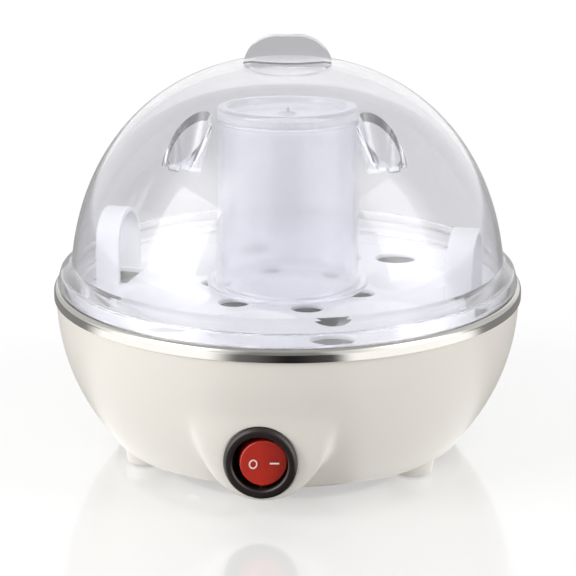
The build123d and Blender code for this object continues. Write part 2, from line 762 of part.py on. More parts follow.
# Measuring cup, one moulding in three nodes: brim, wall and recessed end, with the piercing pin in the recess
with BuildPart() as whole_cup:
    with BuildSketch(Plane.XZ):
        with BuildLine():
            mouth = tray_top + face_gap
            brim = mouth + beaker_flange_lift
            brim_top = brim + beaker_flange_t
            end_radius = beaker_radius - beaker_draft
            inside = beaker_top - beaker_recess - beaker_t
            mouth_points = [(beaker_radius - beaker_t, mouth), (beaker_radius, mouth), (beaker_radius, brim)]
            brim_points = [(beaker_flange, brim), (beaker_flange, brim_top), (beaker_radius, brim_top)]
            end_points = [(end_radius, beaker_top), (beaker_recess_radius, beaker_top)]
            end_points.append((beaker_recess_radius - 0.6, beaker_top - beaker_recess))
            axis_points = [(0, beaker_top - beaker_recess), (0, inside), (end_radius - beaker_t, inside)]
            Polyline(*mouth_points, *brim_points, *end_points, *axis_points, close=True)
        make_face()
    revolve(axis=Axis.Z)
    with Locations((0, 0, beaker_top - beaker_recess)):
        Cone(3.2, 2.0, 0.7, align=up)
        Cylinder(pin_radius + shaft_gap, 4.0, mode=Mode.SUBTRACT)
    cup_circles = whole_cup.edges().filter_by(GeomType.CIRCLE)
    chamfer(cup_circles.filter_by_position(Axis.Z, beaker_top, beaker_top), 0.9)
    brim_edges = cup_circles.filter_by_position(Axis.Z, brim, brim_top)
    chamfer([edge for edge in brim_edges if edge.radius > beaker_flange - 0.1], 0.4)

wall_foot_height, wall_head_height = brim_top + 0.6, inside - 1.0
cup_brim = slice_between(whole_cup, 0, wall_foot_height)
cup_wall = slice_between(whole_cup, wall_foot_height, wall_head_height)
measuring_cup = slice_between(whole_cup, wall_head_height, 2 * crown_top)
write(cup_brim, "cup_brim")
write(cup_wall, "cup_wall")
write(measuring_cup, "measuring_cup")

with BuildPart() as piercing_pin:
    with Locations((0, 0, beaker_top - 3.0)):
        Cylinder(pin_radius, 1.9, align=up)
    with Locations((0, 0, beaker_top - 1.1)):
        Cone(pin_radius, 0.08, 0.8, align=up)

write(piercing_pin, "piercing_pin")


# Lid, one moulding in four nodes: standing rim, wall, crown with steam vents and finger scoops, and fin
wall_low = pan_top + wall_foot
with BuildPart() as dome_core:
    with BuildSketch(Plane.XZ):
        with BuildLine():
            core_curve = dome_curve(dome_radius - dome_t / 2, dome_rise - crown_t / 2, wall_low)
            Polyline(core_curve @ 1, (0, wall_low), core_curve @ 0)
        make_face()
    revolve(axis=Axis.Z)

with BuildPart() as fin:
    with BuildSketch(front_plane(0)):
        with Locations((-fin_spread, fin_centre), (fin_spread, fin_centre)):
            Circle(fin_lobe)
        with Locations((0, fin_centre + fin_lobe - fin_rib)):
            Circle(fin_rib)
        with Locations((0, fin_centre + 0.4)):
            Rectangle(4 * fin_lobe, 2 * fin_lobe, align=(Align.CENTER, Align.MAX), mode=Mode.SUBTRACT)
    extrude(amount=fin_t / 2, both=True)
    chamfer(fin.edges().filter_by(GeomType.CIRCLE), fin_edge)

with BuildPart() as whole_lid:
    with BuildSketch(Plane.XZ):
        with BuildLine():
            outer_dome = dome_curve(dome_radius, dome_rise, wall_low + 0.7)
            inner_dome = dome_curve(dome_radius - dome_t, dome_rise - crown_t, wall_low)
            stand, hang = pan_top + rim_gap, pan_top - locating_depth
            skirt_foot = band_radius - skirt_in
            Line(outer_dome @ 1, inner_dome @ 1)
            lip_points = [inner_dome @ 0, (lid_lip - 1.9, hang), (lid_lip - 0.1, hang), (lid_lip, stand)]
            under_points = [(lid_lip, stand + 3.9), (skirt_foot - 2.4, stand + 3.2)]
            foot_points = [(skirt_foot - skirt_t, stand), (skirt_foot, stand)]
            rim_points = [(skirt_foot - skirt_lean, stand + skirt_height), (dome_radius + 0.3, wall_low)]
            Polyline(*lip_points, *under_points, *foot_points, *rim_points, outer_dome @ 0)
        make_face()
    revolve(axis=Axis.Z)
    for side in (-1, 1):
        scoop_rise = scoop_radius - scoop_depth
        scoop_y = side * (scoop_offset + scoop_rise * scoop_offset / crown_curve)
        scoop_z = dome_middle + dome_rise - scoop_offset**2 / crown_curve / 2 + scoop_rise
        with Locations((0, scoop_y, scoop_z)):
            Sphere(scoop_radius, mode=Mode.SUBTRACT)
    for angle in (-90 - vent_angle, -90 + vent_angle):
        out_x, out_y = cos(radians(angle)), sin(radians(angle))
        vent_in, vent_up = -sin(radians(vent_lean)), cos(radians(vent_lean))
        vent_floor = (vent_floor_out * out_x, vent_floor_out * out_y, vent_floor_height)
        vent_way = (vent_in * out_x, vent_in * out_y, vent_up)
        vent_right = (out_x * vent_up, out_y * vent_up, -vent_in)
        vent_plane = Plane(origin=vent_floor, x_dir=vent_right, z_dir=vent_way)
        vent_slope = (vent_top_radius - vent_floor_radius) / vent_length
        vent_mouth = vent_floor_radius + vent_slope * vent_reach
        with BuildPart(mode=Mode.PRIVATE) as pocket:
            with Locations(vent_plane.offset(-vent_wall)):
                foot_radius_out = vent_floor_radius + vent_wall * (1 - vent_slope)
                Cone(foot_radius_out, vent_mouth + vent_wall, vent_reach + vent_wall, align=up)
            add(dome_core.part, mode=Mode.INTERSECT)
        add(pocket.part)
        with Locations(vent_plane):
            Cone(vent_floor_radius, vent_mouth, vent_reach, align=up, mode=Mode.SUBTRACT)
        with Locations(vent_plane * Location((vent_floor_radius / 2 + 0.3, 0, 0))):
            Box(2.2, 2 * vent_hole, 5, mode=Mode.SUBTRACT)

with BuildPart() as lid_fin:
    add(fin.part)
    add(whole_lid.part, mode=Mode.SUBTRACT)

lid_fin.part = lid_fin.part.rotate(Axis.Z, lid_turn)
whole_lid.part = whole_lid.part.rotate(Axis.Z, lid_turn)
crown_low = dome_middle + crown_share * dome_rise
lid_rim = slice_between(whole_lid, 0, wall_low)
lid_wall = slice_between(whole_lid, wall_low, crown_low)
lid = slice_between(whole_lid, crown_low, 2 * crown_top)
write(lid_rim, "lid_rim")
write(lid_wall, "lid_wall")
write(lid, "lid")
write(lid_fin, "lid_fin")
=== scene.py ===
"""Electric egg cooker: cream base with a rocker switch, steel band, egg tray, measuring cup and clear lid.

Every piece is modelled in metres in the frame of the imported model. Sizes in the classes are in millimetres.
"""

import logging
from collections.abc import Callable, Iterable, Iterator, Sequence
from contextlib import contextmanager
from dataclasses import dataclass
from enum import Enum
from math import asin, atan2, cos, pi, radians, sin, sqrt, tan

import bpy
from mathutils import Matrix, Vector


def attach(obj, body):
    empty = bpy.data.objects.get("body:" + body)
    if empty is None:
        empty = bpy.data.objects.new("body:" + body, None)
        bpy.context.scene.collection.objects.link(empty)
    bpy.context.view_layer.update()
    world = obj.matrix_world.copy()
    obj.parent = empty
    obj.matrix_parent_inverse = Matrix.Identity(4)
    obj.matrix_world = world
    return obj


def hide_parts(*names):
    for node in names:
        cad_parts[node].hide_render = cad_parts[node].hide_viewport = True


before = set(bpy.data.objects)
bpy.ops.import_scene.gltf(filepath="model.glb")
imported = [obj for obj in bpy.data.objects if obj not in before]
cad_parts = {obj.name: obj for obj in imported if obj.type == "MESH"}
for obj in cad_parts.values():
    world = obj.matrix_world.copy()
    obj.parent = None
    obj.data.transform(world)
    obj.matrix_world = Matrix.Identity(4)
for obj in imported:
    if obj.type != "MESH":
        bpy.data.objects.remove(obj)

MM = 0.001
LOG = logging.getLogger("egg_cooker")
Outline = list[tuple[float, float]]
Triple = tuple[float, float, float]
Colour = tuple[float, float, float, float]
Piece = bpy.types.Object
Tree = bpy.types.NodeTree
Socket = bpy.types.NodeSocket


class Body(Enum):
    """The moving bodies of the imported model."""

    BASE = "base"
    ROCKER = "rocker"
    TRAY = "tray"
    CUP = "cup"
    LID = "lid"


class Cut(Enum):
    """How a tool solid changes a piece."""

    TAKE_AWAY = "DIFFERENCE"
    JOIN = "UNION"
    KEEP_SHARED = "INTERSECT"


# Colours and nodes


def srgb(code: str) -> Colour:
    """Turns an sRGB hex colour into a linear one.

    Args:
        code: Six hex digits.

    Returns:
        Linear red, green and blue with full opacity.
    """
    channels = [int(code[i : i + 2], 16) / 255 for i in (0, 2, 4)]
    linear = [c / 12.92 if c <= 0.04045 else ((c + 0.055) / 1.055) ** 2.4 for c in channels]
    return (linear[0], linear[1], linear[2], 1.0)


def add_node(tree: Tree, kind: str, settings: dict | None = None, **inputs: object) -> bpy.types.Node:
    """Adds a shader node, sets it and links what goes into it.

    Args:
        tree: Node tree that gets the node.
        kind: Blender's name for the node type.
        settings: Properties of the node by name.
        **inputs: Socket values or source sockets, by name with underscores for spaces or by i and number.

    Returns:
        The new node.
    """
    made = tree.nodes.new(kind)
    for key, value in (settings or {}).items():
        setattr(made, key, value)
    for key, value in inputs.items():
        wanted = key.replace("_", " ")
        socket = made.inputs[int(key[1:])] if key[0] == "i" and key[1:].isdigit() else made.inputs[wanted]
        if isinstance(value, Socket):
            tree.links.new(value, socket)
        else:
            socket.default_value = value
    return made


def blank_material(name: str) -> tuple[bpy.types.Material, Tree, bpy.types.Node]:
    """Makes an empty node material.

    Args:
        name: Name of the material.

    Returns:
        The material, its node tree and its output node.
    """
    material = bpy.data.materials.new(name)
    material.use_nodes = True
    tree = material.node_tree
    tree.nodes.clear()
    return material, tree, add_node(tree, "ShaderNodeOutputMaterial")


def surface_place(tree: Tree, scale: Triple = (1.0, 1.0, 1.0)) -> Socket:
    """Object coordinates, stretched along each axis."""
    place = add_node(tree, "ShaderNodeTexCoord").outputs["Object"]
    return add_node(tree, "ShaderNodeMapping", None, Vector=place, Scale=scale).outputs["Vector"]


def clouds(tree: Tree, place: Socket, size_mm: float, detail: float = 2.0) -> Socket:
    """A cloudy pattern with clouds of a real size.

    Args:
        tree: Node tree of the material.
        place: Where on the surface.
        size_mm: Size of a cloud.
        detail: How much finer clouds there are in it.

    Returns:
        The pattern, from 0 to 1.
    """
    scale = 1 / (size_mm * MM)
    noise = add_node(tree, "ShaderNodeTexNoise", None, Vector=place, Scale=scale, Detail=detail)
    return noise.outputs["Fac"]


def spread(tree: Tree, pattern: Socket, middle: float, least: float, most: float) -> Socket:
    """Turns a pattern into a value between two shares of its middle."""
    return add_node(
        tree, "ShaderNodeMapRange", None, Value=pattern, To_Min=middle * least, To_Max=middle * most
    ).outputs["Result"]


def relief(tree: Tree, pattern: Socket, strength: float, depth_mm: float) -> Socket:
    """Bumps of a real depth from a pattern."""
    return add_node(
        tree, "ShaderNodeBump", None, Height=pattern, Strength=strength, Distance=depth_mm * MM
    ).outputs["Normal"]


def tinted(tree: Tree, pattern: Socket, first: Colour, second: Colour) -> Socket:
    """A colour that changes with a pattern."""
    return add_node(tree, "ShaderNodeMix", {"data_type": "RGBA"}, i0=pattern, i6=first, i7=second).outputs[2]


def between(tree: Tree, share: Socket, first: object, second: object) -> Socket:
    """A value that changes with a share, from the first to the second."""
    return add_node(tree, "ShaderNodeMix", {"data_type": "FLOAT"}, i0=share, i2=first, i3=second).outputs[0]


def ray_kinds(tree: Tree) -> tuple[Socket, Socket]:
    """Tells rays apart.

    Args:
        tree: Node tree of the floor or the room.

    Returns:
        Whether a ray comes from the camera, also through clear plastic, and whether it is a mirrored one.
    """
    rays = add_node(tree, "ShaderNodeLightPath").outputs
    seen = add_node(
        tree, "ShaderNodeMath", {"operation": "MAXIMUM"},
        i0=rays["Is Camera Ray"], i1=rays["Is Transmission Ray"],
    )
    return seen.outputs[0], rays["Is Glossy Ray"]


@dataclass(frozen=True)
class Moulded:
    """An injection-moulded plastic or rubber surface.

    The mould's texture gives a fine grain, and slow changes of gloss follow the flow of the melt.
    """

    name: str
    colour: str
    shade: str
    roughness: float
    ior: float = 1.49
    grain_mm: float = 0.6
    grain_depth_mm: float = 0.004
    flow_mm: float = 22.0
    glow: float = 0.0
    coat: float = 0.0
    coat_roughness: float = 0.12
    glow_depth: Triple = (0.004, 0.0035, 0.003)
    glow_scale: float = 0.6

    def make(self) -> bpy.types.Material:
        """Builds the material.

        Returns:
            The new material.
        """
        material, tree, out = blank_material(self.name)
        place = surface_place(tree)
        flow = clouds(tree, place, self.flow_mm)
        grain = clouds(tree, place, self.grain_mm, 3.0)
        shader = add_node(
            tree, "ShaderNodeBsdfPrincipled", None, IOR=self.ior,
            Base_Color=tinted(tree, flow, srgb(self.colour), srgb(self.shade)),
            Roughness=spread(tree, flow, self.roughness, 0.85, 1.15),
            Normal=relief(tree, grain, 0.5, self.grain_depth_mm),
            Subsurface_Weight=self.glow, Subsurface_Radius=self.glow_depth, Subsurface_Scale=self.glow_scale,
            Coat_Weight=self.coat, Coat_Roughness=self.coat_roughness,
        )
        tree.links.new(shader.outputs[0], out.inputs["Surface"])
        return material


@dataclass(frozen=True)
class Metal:
    """A metal surface, with the marks of how it was finished."""

    name: str
    colour: str
    roughness: float
    marks_mm: float
    marks_stretch: Triple = (1.0, 1.0, 1.0)
    marks_depth_mm: float = 0.002
    stains_mm: float = 14.0
    stain_shade: float = 0.93

    def make(self) -> bpy.types.Material:
        """Builds the material.

        Returns:
            The new material.
        """
        material, tree, out = blank_material(self.name)
        marks = clouds(tree, surface_place(tree, self.marks_stretch), self.marks_mm, 4.0)
        stains = clouds(tree, surface_place(tree), self.stains_mm)
        clean = srgb(self.colour)
        stained = (clean[0] * self.stain_shade, clean[1] * self.stain_shade, clean[2] * self.stain_shade, 1.0)
        shader = add_node(
            tree, "ShaderNodeBsdfPrincipled", None, Metallic=1.0,
            Base_Color=tinted(tree, stains, clean, stained),
            Roughness=spread(tree, stains, self.roughness, 0.8, 1.3),
            Normal=relief(tree, marks, 0.4, self.marks_depth_mm),
        )
        tree.links.new(shader.outputs[0], out.inputs["Surface"])
        return material


@dataclass(frozen=True)
class ClearMoulding:
    """Clear moulded plastic with a faint haze.

    Light goes through, apart from the share that the haze scatters back, which is larger where the wall is
    seen at a slant. The skin is a little less even than the body, so that lamps show in it as soft patches.
    """

    name: str
    colour: str
    roughness: float
    through: float
    skin: float
    ior: float = 1.47
    milky_edge: float = 0.75
    slant: float = 0.6
    haze_mm: float = 30.0
    ripple_depth_mm: float = 0.06
    skin_weight: float = 0.7

    def make(self) -> bpy.types.Material:
        """Builds the material.

        Returns:
            The new material.
        """
        material, tree, out = blank_material(self.name)
        haze = clouds(tree, surface_place(tree), self.haze_mm)
        slant = add_node(tree, "ShaderNodeLayerWeight", None, Blend=0.5).outputs["Facing"]
        clear = add_node(
            tree, "ShaderNodeMapRange", {"interpolation_type": "SMOOTHSTEP"}, Value=slant,
            From_Min=self.slant, From_Max=1.0, To_Min=self.through, To_Max=self.through * self.milky_edge,
        )
        shader = add_node(
            tree, "ShaderNodeBsdfPrincipled", None, Base_Color=srgb(self.colour), IOR=self.ior,
            Normal=relief(tree, haze, 0.3, self.ripple_depth_mm),
            Roughness=spread(tree, haze, self.roughness, 0.9, 1.1),
            Transmission_Weight=clear.outputs["Result"],
            Coat_Weight=self.skin_weight, Coat_Roughness=self.skin,
        )
        tree.links.new(shader.outputs[0], out.inputs["Surface"])
        return material


class Finish(Enum):
    """The finishes of this cooker, each with its look and its slot in the record."""

    # Cream ABS, moulded against a fine satin texture: soft wide highlights
    HOUSING = (Moulded("cream_abs", "EEEAE2", "EAE5DC", 0.3, 1.53, 0.7, 0.003, 40.0), "housing_plastic")
    # Stainless steel, pressed and buffed to a mirror: sharp reflections with faint rubbing marks
    BAND = (Metal("buffed_stainless", "DAD7D2", 0.11, 1.2, (1.0, 1.0, 14.0), 0.001), "polished_steel")
    # Styrene acrylonitrile, moulded clear: glossy skin with a light haze
    LID = (ClearMoulding("clear_san", "FAFAFD", 0.03, 0.94, 0.22), "clear_plastic")
    # The same plastic, thinner and less polished
    CUP = (ClearMoulding("hazy_san", "F2F2F8", 0.13, 0.86, 0.25), "clear_plastic")
    # White polypropylene, moulded with a satin skin, lets a little light in
    TRAY = (
        Moulded("white_polypropylene", "D8D8DB", "D3D3D8", 0.3, 1.49, 0.8, 0.003, 30.0, 0.05),
        "tray_plastic",
    )
    # Black nylon, fire-proof grade, moulded with a low sheen
    BLACK = (Moulded("black_nylon", "2A2221", "221C1B", 0.3, 1.53, 0.5, 0.003, 12.0), "black_plastic")
    # Red polycarbonate, moulded glossy: deep colour under a bright skin
    ROCKER = (
        Moulded("red_polycarbonate", "CE3426", "B42A1C", 0.22, 1.58, 0.5, 0.002, 10.0, 0.2, 0.4),
        "rocker_plastic",
    )
    # White pad-printing ink, a little raised and matt
    INK = (Moulded("white_ink", "F2EDE8", "E8E2DC", 0.55, 1.5, 0.3, 0.002, 6.0), "rocker_plastic")
    # Nitrile rubber, moulded matt
    RUBBER = (Moulded("grey_rubber", "3A3938", "302F2E", 0.75, 1.52, 0.5, 0.008, 9.0), "rubber")
    # Glass-filled nylon for the cover, with a dull skin
    COVER = (Moulded("dark_nylon", "3B3A39", "343332", 0.58, 1.53, 0.9, 0.01, 18.0), "dark_plastic")
    # Zinc-plated steel: fine crystals, soft grey shine
    ZINC = (Metal("zinc_plate", "B9BBBD", 0.34, 0.8, (1.0, 1.0, 1.0), 0.003), "steel")
    # Die-cast aluminium: pale, a little rough from the die
    CAST = (Metal("cast_aluminium", "C4C5C6", 0.45, 1.5, (1.0, 1.0, 1.0), 0.012), "aluminium")
    # Drawn aluminium sheath, dulled by heat
    SHEATH = (Metal("drawn_sheath", "8E8D8C", 0.4, 0.9, (1.0, 1.0, 4.0), 0.004), "element_sheath")
    # Brass strip, stamped and left bare
    BRASS = (Metal("brass_strip", "C9A45A", 0.3, 0.7, (1.0, 6.0, 1.0), 0.003), "terminal_brass")
    # Phenolic resin, pressed: brown and dull
    RESIN = (Moulded("brown_phenolic", "5C3B26", "4E3220", 0.5, 1.6, 0.6, 0.006, 8.0), "thermostat_case")

    @property
    def slot(self) -> str:
        """Name of the record's material slot."""
        return self.value[1]

    def material(self) -> bpy.types.Material:
        """The finish's material, made once."""
        found = bpy.data.materials.get(self.value[0].name)
        return found or self.value[0].make()


# Modelling by hand, with operators


def only(piece: Piece) -> Piece:
    """Selects one object alone and makes it the active one.

    Args:
        piece: The object.

    Returns:
        The object.
    """
    bpy.ops.object.select_all(action="DESELECT")
    piece.select_set(True)
    bpy.context.view_layer.objects.active = piece
    return piece


@contextmanager
def editing(piece: Piece) -> Iterator[None]:
    """Edit mode on one piece, which begins with all of it selected.

    Args:
        piece: The piece.

    Returns:
        A context that ends in object mode.
    """
    only(piece)
    bpy.ops.object.mode_set(mode="EDIT")
    bpy.ops.mesh.select_all(action="SELECT")
    yield
    bpy.ops.object.mode_set(mode="OBJECT")


def applied(piece: Piece, kind: str, **settings: object) -> Piece:
    """Adds a modifier to a piece, sets it and applies it.

    Args:
        piece: The piece that changes.
        kind: Blender's name for the modifier type.
        **settings: The modifier's settings by name.

    Returns:
        The piece.
    """
    only(piece)
    change = piece.modifiers.new(kind.lower(), kind)
    for key, value in settings.items():
        setattr(change, key, value)
    bpy.ops.object.modifier_apply(modifier=change.name)
    return piece


def settle(piece: Piece) -> Piece:
    """Puts an object's place, turn and size into its mesh.

    Args:
        piece: The object.

    Returns:
        The object.
    """
    only(piece)
    bpy.ops.object.transform_apply(location=True, rotation=True, scale=True)
    return piece


def shaped(tool: Callable[..., object], name: str, **settings: object) -> Piece:
    """Adds a primitive at its size and place.

    Args:
        tool: Blender's operator for the primitive.
        name: Name of the new object.
        **settings: The operator's own settings, in metres.

    Returns:
        The new object, with its place in its mesh.
    """
    bpy.ops.object.select_all(action="DESELECT")
    tool(**settings)
    made = bpy.context.view_layer.objects.active
    made.name = name
    made.data.name = name
    return settle(made)


def block(name: str, sides: Triple, middle: Triple = (0.0, 0.0, 0.0)) -> Piece:
    """A box with its sides and the place of its middle in millimetres."""
    place = tuple(c * MM for c in middle)
    return shaped(bpy.ops.mesh.primitive_cube_add, name, size=MM, scale=sides, location=place)


def rod(name: str, radius: float, low: float, high: float, facets: int = 96) -> Piece:
    """An upright round bar on the axis, between two heights in millimetres."""
    return shaped(
        bpy.ops.mesh.primitive_cylinder_add, name, vertices=facets, radius=radius * MM,
        depth=(high - low) * MM, location=(0, 0, (low + high) / 2 * MM),
    )


def softened(corners: Outline, radii: Sequence[float], steps: int = 6) -> Outline:
    """Rounds the inner corners of an outline.

    Args:
        corners: Corner points in millimetres, first and last stay sharp.
        radii: One radius for each corner between them, 0 for sharp.
        steps: Number of short edges in each rounding.

    Returns:
        The outline with its arcs.
    """
    points = [corners[0]]
    for before, corner, after, radius in zip(corners, corners[1:], corners[2:], radii):
        if radius <= 0:
            points.append(corner)
            continue
        way_in = Vector((before[0] - corner[0], before[1] - corner[1])).normalized()
        way_out = Vector((after[0] - corner[0], after[1] - corner[1])).normalized()
        half = way_in.angle(way_out) / 2
        reach = radius / tan(half)
        middle = Vector(corner) + (way_in + way_out).normalized() * (radius / sin(half))
        start = Vector(corner) + way_in * reach - middle
        end = Vector(corner) + way_out * reach - middle
        sweep = atan2(start.x * end.y - start.y * end.x, start.dot(end))
        for step in range(steps + 1):
            turn = sweep * step / steps
            x = middle.x + start.x * cos(turn) - start.y * sin(turn)
            y = middle.y + start.x * sin(turn) + start.y * cos(turn)
            points.append((x, y))
    points.append(corners[-1])
    return points


def turned(name: str, outline: Outline, segments: int = 160) -> Piece:
    """Turns an outline round the upright axis, ring by ring, as on a lathe.

    Args:
        name: Name of the new object.
        outline: (radius, height) points in millimetres; a last radius of 0 closes it on the axis.
        segments: Number of faces round the axis.

    Returns:
        The new object.
    """
    radius, height = outline[0]
    piece = shaped(
        bpy.ops.mesh.primitive_circle_add, name, vertices=segments, radius=radius * MM,
        location=(0, 0, height * MM),
    )
    with editing(piece):
        bpy.ops.mesh.select_mode(type="EDGE")
        for next_radius, next_height in outline[1:]:
            rise = (0, 0, (next_height - height) * MM)
            bpy.ops.mesh.extrude_edges_move(TRANSFORM_OT_translate={"value": rise})
            if next_radius <= 0:
                bpy.ops.mesh.merge(type="CENTER")
                break
            factor = next_radius / radius
            bpy.ops.transform.resize(value=(factor, factor, 1), center_override=(0, 0, next_height * MM))
            radius, height = next_radius, next_height
    return piece


def closed_shell(name: str, *outlines: Outline, segments: int = 160) -> Piece:
    """Joins turned outlines into one closed skin with its faces pointing outwards.

    Args:
        name: Name of the new object.
        *outlines: Outlines that meet at their ends.
        segments: Number of faces round the axis.

    Returns:
        The new object.
    """
    skins = [turned(f"{name}_skin_{i}", outline, segments) for i, outline in enumerate(outlines)]
    bpy.ops.object.select_all(action="DESELECT")
    for skin in skins:
        skin.select_set(True)
    bpy.context.view_layer.objects.active = skins[0]
    if len(skins) > 1:
        bpy.ops.object.join()
    piece = bpy.context.view_layer.objects.active
    piece.name = name
    piece.data.name = name
    return face_outwards(piece)


def lidded(name: str, outline: Outline, lid: float, segments: int) -> Piece:
    """A turned solid whose open first end is closed by a lid.

    Args:
        name: Name of the new object.
        outline: (radius, height) points in millimetres that end on the axis.
        lid: Height of the lid's middle.
        segments: Number of faces round the axis.

    Returns:
        The new object.
    """
    return closed_shell(name, outline, [outline[0], (0.0, lid)], segments=segments)


def face_outwards(piece: Piece, merge_mm: float = 0.002) -> Piece:
    """Merges doubled points and turns all faces outwards."""
    with editing(piece):
        bpy.ops.mesh.remove_doubles(threshold=merge_mm * MM)
        bpy.ops.mesh.normals_make_consistent(inside=False)
    return piece


def cut(piece: Piece, tool: Piece, how: Cut = Cut.TAKE_AWAY) -> Piece:
    """Changes a piece with a tool solid, which is used up.

    Args:
        piece: The piece that changes.
        tool: The solid that it is cut with, joined to or limited by.
        how: What the tool does.

    Returns:
        The piece.
    """
    applied(piece, "BOOLEAN", operation=how.value, solver="MANIFOLD", object=tool)
    bpy.data.objects.remove(tool, do_unlink=True)
    return piece


def bevelled(piece: Piece, width_mm: float, segments: int = 3, above: float = 35.0) -> Piece:
    """Rounds a piece's sharp edges.

    Args:
        piece: The piece.
        width_mm: Width of the rounding.
        segments: Faces across it.
        above: Only edges that turn by more than this angle, in degrees.

    Returns:
        The piece.
    """
    return applied(
        piece, "BEVEL", width=width_mm * MM, segments=segments, limit_method="ANGLE",
        angle_limit=radians(above), use_clamp_overlap=True,
    )


def smooth(piece: Piece, angle: float = 32.0) -> Piece:
    """Shades a piece smoothly, with its large faces kept flat.

    Args:
        piece: The piece.
        angle: Edges that turn by more than this angle stay sharp, in degrees.

    Returns:
        The piece.
    """
    only(piece)
    bpy.ops.object.shade_smooth_by_angle(angle=radians(angle), keep_sharp_edges=False)
    return applied(piece, "WEIGHTED_NORMAL", keep_sharp=True, weight=80)


def moved(piece: Piece, place: Matrix) -> Piece:
    """Puts a piece somewhere, with the place in its mesh."""
    piece.matrix_world = place
    return settle(piece)


def copied(piece: Piece, name: str) -> Piece:
    """Copies an object with a mesh of its own.

    Args:
        piece: The object.
        name: Name of the copy.

    Returns:
        The copy.
    """
    twin = piece.copy()
    twin.data = piece.data.copy()
    twin.name = name
    bpy.context.scene.collection.objects.link(twin)
    return twin


def at(x: float, y: float, z: float, turn: float = 0.0) -> Matrix:
    """A place in millimetres, turned in degrees about the upright axis."""
    return Matrix.Translation(Vector((x, y, z)) * MM) @ Matrix.Rotation(radians(turn), 4, "Z")


def on_circle(radius: float, angle: float, z: float = 0.0) -> Matrix:
    """A place on a circle round the axis, with its X axis pointing outwards."""
    return at(radius * cos(radians(angle)), radius * sin(radians(angle)), z, angle)


FACING_FRONT = Matrix.Rotation(radians(90), 4, "X")


def dress(piece: Piece, finish: Finish, body: Body, *nodes: str) -> Piece:
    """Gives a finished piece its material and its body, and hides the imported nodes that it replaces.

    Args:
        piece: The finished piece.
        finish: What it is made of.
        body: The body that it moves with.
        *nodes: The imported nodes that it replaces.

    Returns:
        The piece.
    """
    piece.data.materials.clear()
    piece.data.materials.append(finish.material())
    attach(piece, body.value)
    finish.slot
    if nodes:
        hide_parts(*nodes)
    LOG.info("%s: %d faces, moves with %s", piece.name, len(piece.data.polygons), body.value)
    return piece


# The cooker's own pieces


